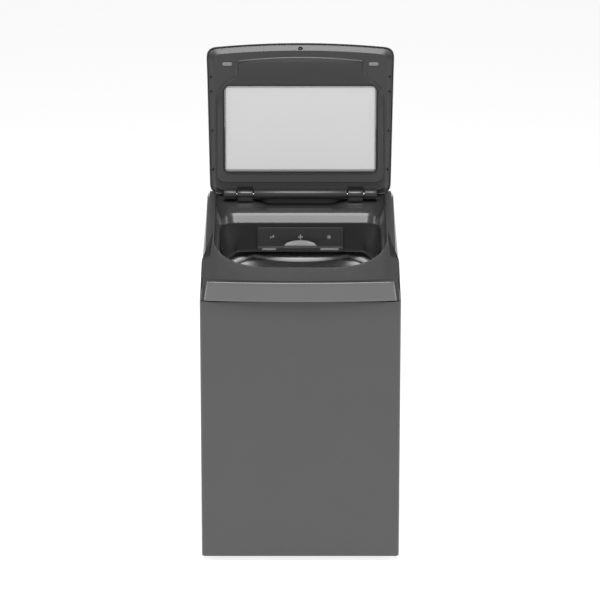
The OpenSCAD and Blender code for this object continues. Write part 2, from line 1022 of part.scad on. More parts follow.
module motor_stator() {
    top = tub_floor_z - bracket_t - 0.02;
    color("darkslategray")
        translate([0, motor_y, 0])
            difference() {
                translate([0, 0, top - 100])
                    cylinder(r = stator_r, h = 100);
                translate([0, 0, top - 96])
                    cylinder(r = rotor_r + rotor_gap, h = 84);
                translate([0, 0, top - 110])
                    cylinder(r = 8 + fit, h = 105);
            }
}

module motor_rotor() {
    top = tub_floor_z - bracket_t;
    color("silver")
        translate([0, motor_y, 0]) {
            translate([0, 0, top - 93])
                cylinder(r = rotor_r, h = 78);
            translate([0, 0, belt_z - 14])
                cylinder(r = 8, h = top - 8 - belt_z + 14);
        }
}

module pulley(pitch_r, bore_r) {
    rotate_extrude($fn = 96)
        polygon([[bore_r, -12], [pitch_r - belt_t - 2, -12], [pitch_r - belt_t - 2, -9], [pitch_r + 2, -9],
                 [pitch_r + 2, -belt_w / 2 - play], [pitch_r - belt_t, -belt_w / 2 - play],
                 [pitch_r - belt_t, belt_w / 2 + play], [pitch_r + 2, belt_w / 2 + play],
                 [pitch_r + 2, 9], [bore_r, 9]]);
}

module motor_pulley() {
    color("silver")
        translate([0, motor_y, belt_z])
            pulley(motor_pulley_r, 8);
}

module drive_pulley() {
    color("silver")
        translate([0, y_mid, belt_z])
            pulley(drive_pulley_r, shaft_r - fit);
}

module belt_2d(radial) {
    hull() {
        translate([0, y_mid])
            circle(drive_pulley_r + radial, $fn = 96);
        translate([0, motor_y])
            circle(motor_pulley_r + radial, $fn = 96);
    }
}

module drive_belt() {
    color("black")
        translate([0, 0, belt_z - belt_w / 2])
            linear_extrude(belt_w)
                difference() {
                    belt_2d(0);
                    belt_2d(-belt_t + play);
                }
}

module clutch_actuator() {
    color("white")
        translate([-134, y_mid - 30, tub_floor_z - 46])
            cube([48, 60, 46 - bracket_t - 0.1]);
}

module drain_pump() {
    color("black")
        difference() {
            union() {
                translate([drain_x, pump_y, tub_floor_z - 76])
                    cylinder(r = pump_r, h = 76 - eps);
                translate([drain_x, pump_y, drain_z])
                    rotate([-90, 0, 0])
                        cylinder(r = drain_r, h = pump_r + 30);
            }
            translate([drain_x, pump_y + pump_r - 6, drain_z])
                rotate([-90, 0, 0])
                    cylinder(r = drain_r - 2.5, h = 100);
        }
}

// ---- basket ----

module basket() {
    color("silver")
        translate([0, y_mid, 0])
            rotate_extrude($fn = 128)
                polygon([[tube_r, basket_floor], [basket_r - 12, basket_floor], [basket_r, basket_floor + 12],
                         [basket_r, basket_top - balance_h + 6], [basket_r - basket_wall, basket_top - balance_h + 6],
                         [basket_r - basket_wall, basket_floor + 13], [basket_r - 13, basket_floor + 2],
                         [tube_r, basket_floor + 2]]);
}

module balance_ring() {
    z0 = basket_top - balance_h;
    color("gray")
        translate([0, y_mid, 0])
            rotate_extrude($fn = 128)
                polygon([[balance_in + 4, z0], [basket_r - basket_wall - 0.05, z0],
                         [basket_r - basket_wall - 0.05, z0 + 6.1], [basket_r + 2, z0 + 6.1],
                         [basket_r + 2, basket_top - 4], [basket_r - 2, basket_top],
                         [balance_in + 8, basket_top], [balance_in, basket_top - 8],
                         [balance_in, z0 + 4]]);
}

module basket_hub() {
    color("gray")
        translate([0, y_mid, 0])
            difference() {
                union() {
                    translate([0, 0, basket_floor - 12])
                        cylinder(r = 110, h = 12 - eps);
                    translate([0, 0, tub_floor_z - bracket_t - 94])
                        cylinder(r = tube_r, h = basket_floor + 5 - tub_floor_z + bracket_t + 94);
                }
                cylinder(r = shaft_r, h = big);
            }
}

module lint_filters() {
    z0 = basket_floor + 90;
    h = basket_top - balance_h - z0 - 60;
    color("white")
        translate([0, y_mid, z0])
            for (a = [35, 215])
                rotate(a)
                    rotate_extrude(angle = 20)
                        translate([basket_r - basket_wall - 14.1, 0])
                            square([14, h]);
}

module impeller() {
    z0 = basket_floor + 6;
    r = basket_r - 82;
    color("gray")
        translate([0, y_mid, z0])
            difference() {
                union() {
                    rotate_extrude($fn = 96)
                        polygon([[0, 0], [r, 0], [r, 6], [r - 30, 12], [60, 18], [0, 22]]);
                    for (a = [0:60:300])
                        rotate(a)
                            linear_extrude(34)
                                hull() {
                                    translate([50, 0])
                                        circle(10, $fn = 24);
                                    translate([r - 24, 0])
                                        circle(5, $fn = 24);
                                }
                }
                translate([0, 0, -1])
                    cylinder(r = shaft_r - fit, h = 13);
            }
}

module impeller_cap() {
    z0 = basket_floor + 6 + 22;
    color("darkgray")
        translate([0, y_mid, z0])
            rotate_extrude()
                polygon([[0, 0.05], [36, 0.05], [34, 8], [20, 16], [0, 19]]);
}

module drive_shaft() {
    color("silver")
        translate([0, y_mid, belt_z - 22])
            cylinder(r = shaft_r - fit, h = basket_floor + 18 - belt_z + 22);
}

// ---- lid ----

module knuckle_notches() {
    for (s = [-1, 1])
        translate([s * (knuckle_in + knuckle_out) / 2, 0, 0])
            cube([knuckle_out - knuckle_in + 2 * side_gap, 40, 80], center = true);
}

module pin_bores() {
    rotate([0, 90, 0])
        cylinder(r = pin_r + fit, h = 2 * block_out - 4, center = true);
}

module lid_outer() {
    color(dark_plastic)
    in_lid()
        difference() {
            union() {
                difference() {
                    lid_slab(rim_gap, rim_top, 0);
                    lid_slab(rim_gap - 1, rim_top - lid_wall, lid_wall);
                }
                translate([0, 0, seal_t + glass_t + 0.01])
                    linear_extrude(rim_top - seal_t - glass_t - 1)
                        difference() {
                            window_2d(lid_wall);
                            window_2d(0);
                        }
            }
            translate([0, 0, -50])
                linear_extrude(100)
                    window_2d(0);
            knuckle_notches();
            translate([0, 0, 0])
                rotate([0, 90, 0])
                    cylinder(r = barrel_r + fit, h = 2 * block_out + 1, center = true);
        }
}

module lid_inner() {
    color([0.26, 0.26, 0.27])
    in_lid()
        difference() {
            union() {
                difference() {
                    lid_slab(rim_gap, rim_gap + lid_wall, lid_wall + 0.1);
                    translate([0, 0, -50])
                        linear_extrude(100)
                            frame_2d(lid_wall);
                }
                translate([0, 0, -frame_depth])
                    linear_extrude(frame_depth + rim_gap + lid_wall)
                        difference() {
                            frame_2d(0);
                            frame_2d(lid_wall);
                        }
                translate([0, 0, -frame_depth])
                    linear_extrude(lid_wall)
                        frame_2d(0);
                translate([0, 0, -frame_depth])
                    linear_extrude(frame_depth - seal_t)
                        window_2d(lid_wall);
                rotate([0, 90, 0])
                    cylinder(r = barrel_r, h = 2 * block_out, center = true);
                translate([-block_out, -30, -4])
                    cube([2 * block_out, 30, rim_gap + lid_wall + 4]);
            }
            translate([0, 0, -50])
                linear_extrude(100)
                    window_2d(0);
            knuckle_notches();
            pin_bores();
            at_lid_screws()
                cylinder(r = screw_r, h = 60, center = true);
            translate([0, -latch_u, 0])
                cylinder(r = 5, h = 60, center = true);
        }
}

// Pane outline: a margin round the window, kept inside the raised frame's walls
module pane_2d(grow) {
    intersection() {
        window_2d(grow);
        frame_2d(lid_wall + 13.3 - grow);
    }
}

module lid_glass() {
    color([0.85, 0.87, 0.88, 0.5])
    in_lid()
        linear_extrude(glass_t)
            pane_2d(10);
}

module glass_seal() {
    color("black")
    in_lid()
        difference() {
            translate([0, 0, -seal_t])
                linear_extrude(2 * seal_t + glass_t)
                    pane_2d(13);
            linear_extrude(glass_t)
                pane_2d(10);
            translate([0, 0, -20])
                linear_extrude(60)
                    window_2d(1);
            translate([0, 0, seal_t + glass_t - eps])
                linear_extrude(60)
                    window_2d(9);
        }
}

module at_lid_screws() {
    edge = 10.5;
    for (s = [-1, 1])
        for (u = [lid_l - 104, lid_l - 150, lid_l - 272, 77])
            translate([s * (lid_rear_half + (lid_front_half - lid_rear_half) * u / lid_l - edge), -u, 0])
                children();
}

module lid_screws() {
    color("silver")
    in_lid()
        at_lid_screws() {
            translate([0, 0, rim_gap - 1])
                cylinder(r = head_r, h = 1);
            translate([0, 0, rim_gap - 0.5])
                cylinder(r = screw_r, h = rim_t - lid_wall - 0.5);
        }
}

module lid_bumpers() {
    color("gray")
    in_lid()
        for (s = [-1, 1])
            translate([s * 225, -bumper_u, play])
                linear_extrude(rim_gap - play)
                    offset(r = 3)
                        square([24, 7], center = true);
}

module latch_strike() {
    color("silver")
    in_lid()
        translate([0, -latch_u, rim_gap + 0.5])
            cylinder(r = 4.9, h = rim_t - lid_wall - 1);
}

cabinet_shell();
rear_panel();
base_frame();
corner_brackets();
top_cover();
front_fascia();
inner_skirt();
hinge_blocks();
hinge_pins();
console_housing();
console_panel();
display_window();
control_board();
dispenser_housing();
lid_lock();
inlet_valves();
pressure_switch();
drain_outlet();
drain_hose();
cord_gland();
suspension_rods();
foot_locknuts();
cabinet_screws();
outer_tub();
tub_cover();
spring_cups();
suspension_springs();
motor_bracket();
gearbox_housing();
main_bearings();
shaft_seal();
motor_stator();
clutch_actuator();
drain_pump();
drive_belt();
basket();
balance_ring();
basket_hub();
lint_filters();
impeller();
impeller_cap();
drive_shaft();
drive_pulley();
motor_rotor();
motor_pulley();
lid_outer();
lid_inner();
lid_glass();
glass_seal();
lid_bumpers();
lid_screws();
latch_strike();
dispenser_drawer();
programme_knob();
power_button();
start_button();
foot(-1, -1);  // foot_front_left
foot(1, -1);  // foot_front_right
foot(-1, 1);  // foot_rear_left
foot(1, 1);  // foot_rear_right
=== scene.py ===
import json
import math
import bpy
import numpy as np
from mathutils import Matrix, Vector


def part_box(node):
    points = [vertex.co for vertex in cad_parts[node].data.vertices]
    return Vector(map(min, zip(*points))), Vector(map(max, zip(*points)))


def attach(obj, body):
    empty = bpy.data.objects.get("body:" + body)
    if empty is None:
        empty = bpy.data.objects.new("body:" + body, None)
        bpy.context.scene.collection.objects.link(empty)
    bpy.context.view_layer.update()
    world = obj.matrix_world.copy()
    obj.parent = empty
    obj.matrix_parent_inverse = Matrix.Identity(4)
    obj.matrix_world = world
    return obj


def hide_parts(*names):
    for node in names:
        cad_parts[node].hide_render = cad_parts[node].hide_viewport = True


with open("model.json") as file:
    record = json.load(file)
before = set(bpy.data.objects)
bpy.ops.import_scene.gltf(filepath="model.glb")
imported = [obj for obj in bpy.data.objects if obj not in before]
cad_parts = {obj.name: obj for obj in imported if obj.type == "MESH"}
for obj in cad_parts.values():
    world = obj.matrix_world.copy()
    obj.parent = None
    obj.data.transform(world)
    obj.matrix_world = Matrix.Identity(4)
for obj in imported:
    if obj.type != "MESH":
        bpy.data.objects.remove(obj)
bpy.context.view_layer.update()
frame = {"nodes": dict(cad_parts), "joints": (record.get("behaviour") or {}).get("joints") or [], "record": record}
record = frame["record"]

# ---- Studio: pale floor, white surround and soft lights ----
# The machine stands on a pale seamless floor in a dim room. Two tall soft panels at the sides and
# one above and in front light the sloping faces, and the camera looks down a little.


def grid_mesh(name, points, close_loop=True, close_rings=False):
    """A mesh over a grid of points [ring, place on ring, xyz], each ring joined to the next one.
    The face normal is the direction along the ring crossed with the direction to the next ring."""
    points = np.asarray(points, dtype=float)
    rings, count = points.shape[:2]
    place = np.arange(rings * count).reshape(rings, count)
    down = place if close_rings else place[:-1]
    up = np.roll(place, -1, axis=0) if close_rings else place[1:]
    if close_loop:
        quads = xyz(down, np.roll(down, -1, 1), np.roll(up, -1, 1), up)
    else:
        quads = xyz(down[:, :-1], down[:, 1:], up[:, 1:], up[:, :-1])
    return points.reshape(-1, 3), quads.reshape(-1, 4)


def add_piece(name, parts, angle=32):
    """One object from several (points, faces) parts, in metres, smooth with sharp edges over angle."""
    verts, faces, base = [], [], 0
    for points, part in parts:
        verts.append(points)
        faces += [[base + i for i in face] for face in (part if isinstance(part, list) else part.tolist())]
        base += len(points)
    mesh = bpy.data.meshes.new(name)
    mesh.from_pydata(np.concatenate(verts).tolist(), [], faces)
    mesh.validate()
    mesh.update()
    piece = bpy.data.objects.new(name, mesh)
    bpy.context.scene.collection.objects.link(piece)
    mesh.shade_smooth()
    mesh.set_sharp_from_angle(angle=math.radians(angle))
    return piece


def xyz(*columns):
    """Numbers and arrays side by side as the last axis of one array."""
    return np.stack(np.broadcast_arrays(*columns), axis=-1)


class Socket:
    """A shader value. Arithmetic on it adds Math nodes to the same material."""

    def __init__(self, tree, out):
        self.tree = tree
        self.out = out

    def node(self, kind, settings=None, values=None, out=0):
        """Adds a node of a kind, with its settings first and then its input values or links."""
        made = self.tree.nodes.new(kind)
        for key, value in (settings or {}).items():
            setattr(made, key, value)
        for key, value in (values or {}).items():
            if isinstance(value, Socket):
                self.tree.links.new(value.out, made.inputs[key])
            else:
                made.inputs[key].default_value = value
        return Socket(self.tree, made.outputs[out])

    def math(self, operation, *others):
        values = {0: self}
        values.update({i + 1: other for i, other in enumerate(others)})
        return self.node("ShaderNodeMath", {"operation": operation}, values)

    def __add__(self, other):
        return self.math("ADD", other)

    __radd__ = __add__

    def __mul__(self, other):
        return self.math("MULTIPLY", other)

    __rmul__ = __mul__

    def __sub__(self, other):
        return self.math("SUBTRACT", other)

    def __rsub__(self, other):
        return (self * -1.0).math("ADD", other)

    def __truediv__(self, other):
        return self.math("DIVIDE", other)


def new_material(name):
    """An empty material with its Principled shader, and the Object coordinates as a Socket."""
    material = bpy.data.materials.new(name)
    material.use_nodes = True
    tree = material.node_tree
    shader = tree.nodes["Principled BSDF"]
    where = Socket(tree, tree.nodes.new("ShaderNodeTexCoord").outputs["Object"])
    return material, shader, where


def feed(shader, name, value):
    """Links a Socket to one of a shader's inputs."""
    value.tree.links.new(value.out, shader.inputs[name])


def mixed(where, factor, low, high):
    """A colour between low and high by a 0 to 1 factor."""
    return where.node("ShaderNodeMix", {"data_type": "RGBA"},
                      {0: factor, 6: (*low, 1.0), 7: (*high, 1.0)}, out=2)


def moulded(name, color, rough, spread=0.08, grain=900.0, bump=0.05, metallic=0.0, coat=0.0,
            coat_rough=0.2, specular=0.5, tint=0.12):
    """A moulded or painted finish: slight cloudy colour, fine grain in roughness and in bump."""
    material, shader, where = new_material(name)
    cloud = where.node("ShaderNodeTexNoise", None, {"Vector": where, "Scale": 7.0, "Detail": 3.0})
    fine = where.node("ShaderNodeTexNoise", None, {"Vector": where, "Scale": grain, "Detail": 2.0})
    low = tuple(c * (1 - tint) for c in color)
    high = tuple(min(1.0, c * (1 + tint)) for c in color)
    shade = mixed(where, cloud * 0.7 + fine * 0.3, low, high)
    feed(shader, "Base Color", shade)
    feed(shader, "Roughness", fine * spread + (rough - spread / 2))
    if bump:
        relief = where.node("ShaderNodeBump", None, {"Strength": bump, "Distance": 0.0004, "Height": fine})
        feed(shader, "Normal", relief)
    shader.inputs["Metallic"].default_value = metallic
    shader.inputs["Coat Weight"].default_value = coat
    shader.inputs["Coat Roughness"].default_value = coat_rough
    shader.inputs["Specular IOR Level"].default_value = specular
    return material


def set_material(piece, material):
    """Gives a piece one material."""
    piece.data.materials.clear()
    piece.data.materials.append(material)


def fitted(piece, material, body, slot, *nodes):
    """Gives a piece its material and body, and hides the CAD nodes it stands for. The slot argument is not used."""
    set_material(piece, material)
    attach(piece, body)
    if nodes:
        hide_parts(*nodes)


def soft_panel(name, at, aim, width, height, power):
    """A rectangular soft light at a place, facing a point."""
    light = bpy.data.lights.new(name, "AREA")
    light.shape = "RECTANGLE"
    light.size = width
    light.size_y = height
    light.energy = power
    lamp = bpy.data.objects.new(name, light)
    lamp.location = at
    lamp.rotation_euler = (Vector(aim) - Vector(at)).to_track_quat("-Z", "Y").to_euler()
    bpy.context.scene.collection.objects.link(lamp)


floor_half = 30.0
floor_mesh = bpy.data.meshes.new("floor")
floor_mesh.from_pydata([(-floor_half, -floor_half, 0), (floor_half, -floor_half, 0),
                        (floor_half, floor_half, 0), (-floor_half, floor_half, 0)], [], [(0, 1, 2, 3)])
floor = bpy.data.objects.new("floor", floor_mesh)
bpy.context.scene.collection.objects.link(floor)
floor_paper, floor_shader, floor_where = new_material("floor_paper")
fibre = floor_where.node("ShaderNodeTexNoise", None, {"Vector": floor_where, "Scale": 60.0, "Detail": 2.0})
feed(floor_shader, "Base Color", mixed(floor_where, fibre, (0.55, 0.55, 0.55), (0.56, 0.56, 0.56)))
floor_shader.inputs["Roughness"].default_value = 1.0
floor_shader.inputs["Specular IOR Level"].default_value = 0.0
floor_shader.inputs["Emission Color"].default_value = (1.0, 1.0, 1.0, 1.0)
floor_shader.inputs["Emission Strength"].default_value = 0.75
set_material(floor, floor_paper)

world = bpy.data.worlds.new("dim_room")
bpy.context.scene.world = world
world.use_nodes = True
world.node_tree.nodes["Background"].inputs[0].default_value = (1.0, 1.0, 1.0, 1.0)
world.node_tree.nodes["Background"].inputs[1].default_value = 0.3
bpy.context.scene.view_settings.view_transform = "Standard"

soft_panel("overhead_panel", (0, -1.7, 4.6), (0, -0.1, 0.9), 3.0, 2.2, 150.0)
soft_panel("left_panel", (-3.4, 0.6, 1.6), (0, 0, 0.9), 1.6, 2.4, 40.0)
soft_panel("right_panel", (3.4, 0.6, 1.6), (0, 0, 0.9), 1.6, 2.4, 40.0)

camera_data = bpy.data.cameras.new("camera")
camera_data.lens = 206.0
camera_data.sensor_width = 36.0
camera = bpy.data.objects.new("camera", camera_data)
camera.location = (-0.0012, -10.042, 3.9028)
aim = Vector((-0.0012, -0.305, 0.8332))
camera.rotation_euler = (aim - camera.location).to_track_quat("-Z", "Y").to_euler()
bpy.context.scene.collection.objects.link(camera)
bpy.context.scene.camera = camera

# ---- Cabinet wrap ----
# One sheet of steel folded round the front and both sides, painted metallic grey, with rolled
# upright corners and flanges folded inwards at its top and bottom edges.

MM = 0.001


def node_box(name):
    """The lowest and highest corner of a CAD node, in millimetres."""
    return (np.array(corner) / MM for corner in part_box(name))


def loop(half, front, rear, r_front, r_rear, edge=24, arc=14):
    """A closed outline with four rounded corners, run anticlockwise seen from above: along the
    front, up the right side, back along the rear and down the left side. Arrays of x and y."""
    def corner(cx, cy, r, start):
        a = np.radians(start) + np.linspace(0, np.pi / 2, arc)
        return cx + r * np.cos(a), cy + r * np.sin(a)

    def edge_between(a, b):
        t = np.linspace(0, 1, edge + 2)[1:-1]
        return a[0] + (b[0] - a[0]) * t, a[1] + (b[1] - a[1]) * t

    corners = [corner(half - r_front, front + r_front, r_front, 270),
               corner(half - r_rear, rear - r_rear, r_rear, 0),
               corner(-half + r_rear, rear - r_rear, r_rear, 90),
               corner(-half + r_front, front + r_front, r_front, 180)]
    xs, ys = [], []
    last = corners[-1]
    for item in corners:
        ex, ey = edge_between((last[0][-1], last[1][-1]), (item[0][0], item[1][0]))
        xs += [ex, item[0]]
        ys += [ey, item[1]]
        last = item
    return np.concatenate(xs), np.concatenate(ys)


def ring(xy, z):
    """One ring of points in metres from x and y arrays and a height, all in millimetres."""
    x, y = xy
    return xyz(x, y, z) * MM


shell_low, shell_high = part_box("cabinet_shell")
shell_half = shell_high[0] / MM
shell_front, shell_rear = shell_low[1] / MM, shell_high[1] / MM
shell_bottom, seam = shell_low[2] / MM, shell_high[2] / MM
edge_r = 2.0
wrap = []
inset_heights = [(16.0, shell_bottom + 1.2), (16.0, shell_bottom), (edge_r, shell_bottom)]
inset_heights += [(edge_r * (1 - math.sin(a)), shell_bottom + edge_r * (1 - math.cos(a)))
                  for a in np.linspace(0.3, math.pi / 2, 4)]
inset_heights += [(0.0, h) for h in np.linspace(shell_bottom + 60, seam - 60, 12)]
inset_heights += [(edge_r * (1 - math.cos(a)), seam - edge_r * (1 - math.sin(a)))
                  for a in np.linspace(0, math.pi / 2, 5)]
inset_heights += [(16.0, seam), (16.0, seam - 1.2), (1.2, seam - 1.2), (1.2, shell_bottom + 1.2)]
for inset, height in inset_heights:
    wrap.append(ring(loop(shell_half - inset, shell_front + inset, shell_rear - min(inset, 0.6),
                          12 - min(inset, 10), 12 - min(inset, 10)), height))
cabinet_wrap = add_piece("cabinet_wrap", [grid_mesh("wrap", wrap, close_rings=True)])
painted_sheet = moulded("painted_sheet", (0.085, 0.085, 0.087), 0.42, spread=0.06, grain=1400.0,
                        bump=0.03, metallic=0.25, coat=0.25, coat_rough=0.25, tint=0.05)
fitted(cabinet_wrap, painted_sheet, "cabinet", "painted_sheet", "cabinet_shell")

# ---- Top cover ----
# A large moulding in dark plastic: a deck sloping up to the rear round the laundry opening, bevelled
# shoulders, and a rear ledge with a steep bright band under the lid's hinge.

hinge = next(j for j in frame["joints"] if j["name"] == "lid_hinge")
hinge_y, hinge_z = hinge["pos_m"][1] / MM, hinge["pos_m"][2] / MM
front_y = shell_front
seam_z = seam + 0.8
slope = math.tan(math.radians(14))
ridge_y = hinge_y + 22
ridge_z = hinge_z + 22 * slope
rear_y = 299.0
bow = 15.0


def deck_height(y):
    """The deck's plane, rising to the ridge behind the hinge, then falling to the rear."""
    rising = hinge_z + (y - hinge_y) * slope
    falling = ridge_z - (y - ridge_y) * math.tan(math.radians(22))
    k = 3.0
    return -k * np.logaddexp(-rising / k, -falling / k)


def step(value, low, high):
    """Smooth 0 to 1 between low and high."""
    t = np.clip((value - low) / (high - low), 0, 1)
    return t * t * (3 - 2 * t)


def bowed(xy, half, amount, reach=160.0):
    """Pushes the front of an outline forwards at its middle: amount times one less the square of
    x over half, fading out behind."""
    x, y = xy
    fade = 1 - step(y, y.min() + 2, y.min() + reach)
    return x, y - amount * np.clip(1 - (x / half) ** 2, 0, 1) * fade


def shoulder_x(x, y, rear_half, front_half, blend_at=-168.0):
    """Half width of the flat deck: narrow behind the blend, full width in front of it."""
    narrow = front_half + (rear_half - front_half) * np.clip((y - blend_at) / (ridge_y - blend_at), 0, 1)
    wide = 296.0
    half = wide + (narrow - wide) * step(y, blend_at - 16, blend_at + 4)
    return np.sign(x) * np.minimum(np.abs(x), half)


cover_rings = []
base_x, base_y = bowed(loop(300, front_y + 5.6, rear_y, 12, 30), 300, 14.4)
for inset, height in ((3.0, seam_z + 8), (3.0, seam_z), (0.8, seam_z), (0.0, seam_z + 0.8)):
    bx, by = bowed(loop(300 - inset, front_y + 5.6 + inset, rear_y - inset, 12, 30), 300, 14.4)
    cover_rings.append(ring((bx, by), height))
side_drop = 3.0 + 17.0 * step(base_y, -184, -164) * (1 - step(base_y, ridge_y + 20, rear_y - 10))
levels = [0.25, 0.5, 0.75, 1.0]
for share in levels:
    top = deck_height(base_y) - side_drop
    z = seam_z + 0.8 + (top - seam_z - 0.8) * share
    lean = (z - seam_z) * math.tan(math.radians(3.8))
    x = np.sign(base_x) * (np.abs(base_x) - lean * np.clip(np.abs(base_x) / 300, 0, 1))
    y = base_y + np.where(base_y < front_y + 14, 0.15 * (z - seam_z), 0)
    cover_rings.append(ring((x, y), z))
wall_top = cover_rings[-1] / MM
deck_x, deck_y = bowed(loop(297, front_y + 16, ridge_y + 6, 12, 26), 300, 14.4)
deck_x = shoulder_x(deck_x, deck_y, 281, 270.5)
deck_z = deck_height(deck_y)
edge_line = xyz(deck_x, deck_y, deck_z)
for share in (0.12, 0.5, 0.88):
    line = wall_top + (edge_line - wall_top) * share
    bulge = math.sin(math.pi * share) * (1.2 + 4.0 * (side_drop - 3) / 17)
    line[:, 2] += bulge * 0.8
    line[:, 0] += np.sign(line[:, 0]) * np.maximum(bulge - 1.2, 0)
    cover_rings.append(line * MM)
cover_rings.append(edge_line * MM)

mouth_half, mouth_front = 264.0, front_y + 76
mouth = loop(mouth_half, mouth_front, ridge_y - 4, 165, 26)
inner_line = xyz(mouth[0], mouth[1], deck_height(mouth[1]))
for share in (0.04, 0.5, 0.93):
    line = edge_line + (inner_line - edge_line) * share
    line[:, 2] = deck_height(line[:, 1])
    cover_rings.append(line * MM)
for a in np.linspace(0.15, math.pi / 2, 5):
    inset = 2.6 * math.sin(a)
    xy = loop(mouth_half - inset, mouth_front + inset, ridge_y - 4 - inset, 165 - inset, 26 - inset)
    cover_rings.append(ring(xy, deck_height(xy[1]) - 2.6 * (1 - math.cos(a))))


def basin(half, front, rear, r_front, r_rear, depth, rear_z):
    """A ring of the basin: depth below the deck at the front and sides, rear_z along the rear."""
    x, y = loop(half, front, rear, r_front, r_rear)
    blend = step(y, rear - r_rear - 60, rear - r_rear + 6)
    z = (deck_height(y) - depth) * (1 - blend) + rear_z * blend
    return xyz(x, y, z)


step_y = 153.0
step_z = float(deck_height(step_y)) - 33.0
shelf = [(261, ridge_y - 8, 24, 12, hinge_z - 8), (259, hinge_y + 8, 26, 16, hinge_z - 19),
         (258, hinge_y - 2, 28, 18, hinge_z - 23), (257, hinge_y - 9, 30, 19, hinge_z - 26),
         (256, hinge_y - 16, 32, 20, hinge_z - 29.5), (254, hinge_y - 23, 35, 22, hinge_z - 33.5),
         (252, hinge_y - 27, 37, 23, hinge_z - 35.5), (250, hinge_y - 30, 39, 24, hinge_z - 37),
         (246, step_y + 5, 43, 27, step_z + 1.0), (243.5, step_y + 1, 45, 29.5, step_z - 0.8),
         (242, step_y - 2.5, 45, 32, step_z - 4)]
for half, rear, r_rear, depth, rear_z in shelf:
    points = basin(half, mouth_front + 3 + (264 - half) * 0.3, rear, 160, r_rear, depth, rear_z)
    scoop = 1 - step(np.abs(points[:, 0]), 96, 134)
    scoop = scoop * step(points[:, 1], hinge_y - 29, hinge_y - 22) * (1 - step(points[:, 1], ridge_y - 10, ridge_y))
    points[:, 2] -= 13.0 * scoop
    cover_rings.append(points * MM)
for share in (0.25, 0.5, 0.75, 1.0):
    points = basin(242 - 2 * share, mouth_front + 10, step_y - 2.5 - 15.5 * share, 158, 45, 33 + 4 * share,
                   step_z - 4 - 24 * share)
    cover_rings.append(points * MM)
top_moulding = add_piece("top_moulding", [grid_mesh("cover", cover_rings)])
deck_plastic = moulded("deck_plastic", (0.036, 0.036, 0.0372), 0.34, grain=1100.0, bump=0.03,
                       coat=0.6, coat_rough=0.12, tint=0.06)
set_material(top_moulding, deck_plastic)
# Faces in the grip recess under the hinge get a near-black, rougher, bumpier material: painted shade for the shadow
# in the scoop, together with a real coarse grip texture.
top_moulding.data.materials.append(moulded("grip_texture_and_painted_shade", (0.014, 0.014, 0.0145), 0.6, spread=0.1, grain=1600.0,
                                           bump=0.3, tint=0.08))
centres = np.array([face.center for face in top_moulding.data.polygons]) / MM
grip_shade_reach = 134 - 32 * (1 - step(centres[:, 1], hinge_y - 28, hinge_y - 6))
grip_shade_mask = (np.abs(centres[:, 0]) < grip_shade_reach) & (centres[:, 1] > hinge_y - 25) & (centres[:, 1] < hinge_y + 6)
grip_shade_mask &= (centres[:, 2] > 940) & (centres[:, 2] < hinge_z - 20)
top_moulding.data.polygons.foreach_set("material_index", grip_shade_mask.astype(np.int32))
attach(top_moulding, "cabinet")
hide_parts("top_cover")

# ---- Front strip ----
# A bowed trim strip clipped over the front of the top cover, in the cabinet's paint made about twice as light:
# painted light for the light its upward lean catches. It has slanting ends and a rolled top edge.

strip_low, strip_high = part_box("front_fascia")
strip_bottom, strip_top = strip_low[2] / MM + 2.2, strip_high[2] / MM
across = np.linspace(-1, 1, 97)
section = [(4.6, 0.0), (1.2, 0.0), (0.2, 0.6), (0.0, 1.6)]
section += [(0.0, h) for h in np.linspace(8, strip_top - strip_bottom - 4, 6)]
section += [(0.4, strip_top - strip_bottom - 1.8), (1.6, strip_top - strip_bottom - 0.5),
            (4.8, strip_top - strip_bottom)]
strip_rows = []
for back, up in section:
    half = 287 - 8 * up / (strip_top - strip_bottom)
    x = across * half
    y = front_y - bow * (1 - (x / 300) ** 2) + back + 0.15 * up + 0.25
    edge = np.clip((np.abs(across) - 0.985) / 0.015, 0, 1)
    strip_rows.append(xyz(x, y + 3.5 * edge ** 2, strip_bottom + up) * MM)
front_strip = add_piece("front_strip", [grid_mesh("strip", strip_rows, close_loop=False)])
solid = front_strip.modifiers.new("thickness", "SOLIDIFY")
solid.thickness = 0.0012
solid.offset = -1
# Same finish as painted_sheet but twice as light: painted light standing in for the light that falls on the strip's
# upward lean.
strip_paint_painted_light = moulded("strip_paint_painted_light", (0.17, 0.17, 0.173), 0.4, spread=0.06, grain=1400.0, bump=0.03,
                      metallic=0.25, coat=0.25, coat_rough=0.25, tint=0.05)
fitted(front_strip, strip_paint_painted_light, "cabinet", "strip_finish", "front_fascia")

# ---- Inner skirt ----
# A dark moulded shroud hung under the opening. It narrows to a round neck over the tub and has a
# port at the rear for the dispenser drawer.

skirt_low, skirt_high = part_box("inner_skirt")
skirt_bottom = skirt_low[2] / MM
port_y = 131.0
tub_y = (front_y + 300.0) / 2


def neck(radius, rear):
    """A circle round the tub axis cut by a straight rear chord, point for point like loop()."""
    x, y = loop(mouth_half, mouth_front, port_y, 160, 45)
    angle = np.arctan2(y - tub_y, x)
    nx, ny = radius * np.cos(angle), tub_y + radius * np.sin(angle)
    over = ny > rear
    return np.where(over, x * np.minimum(1, radius / mouth_half * 0.82), nx), np.minimum(ny, rear)


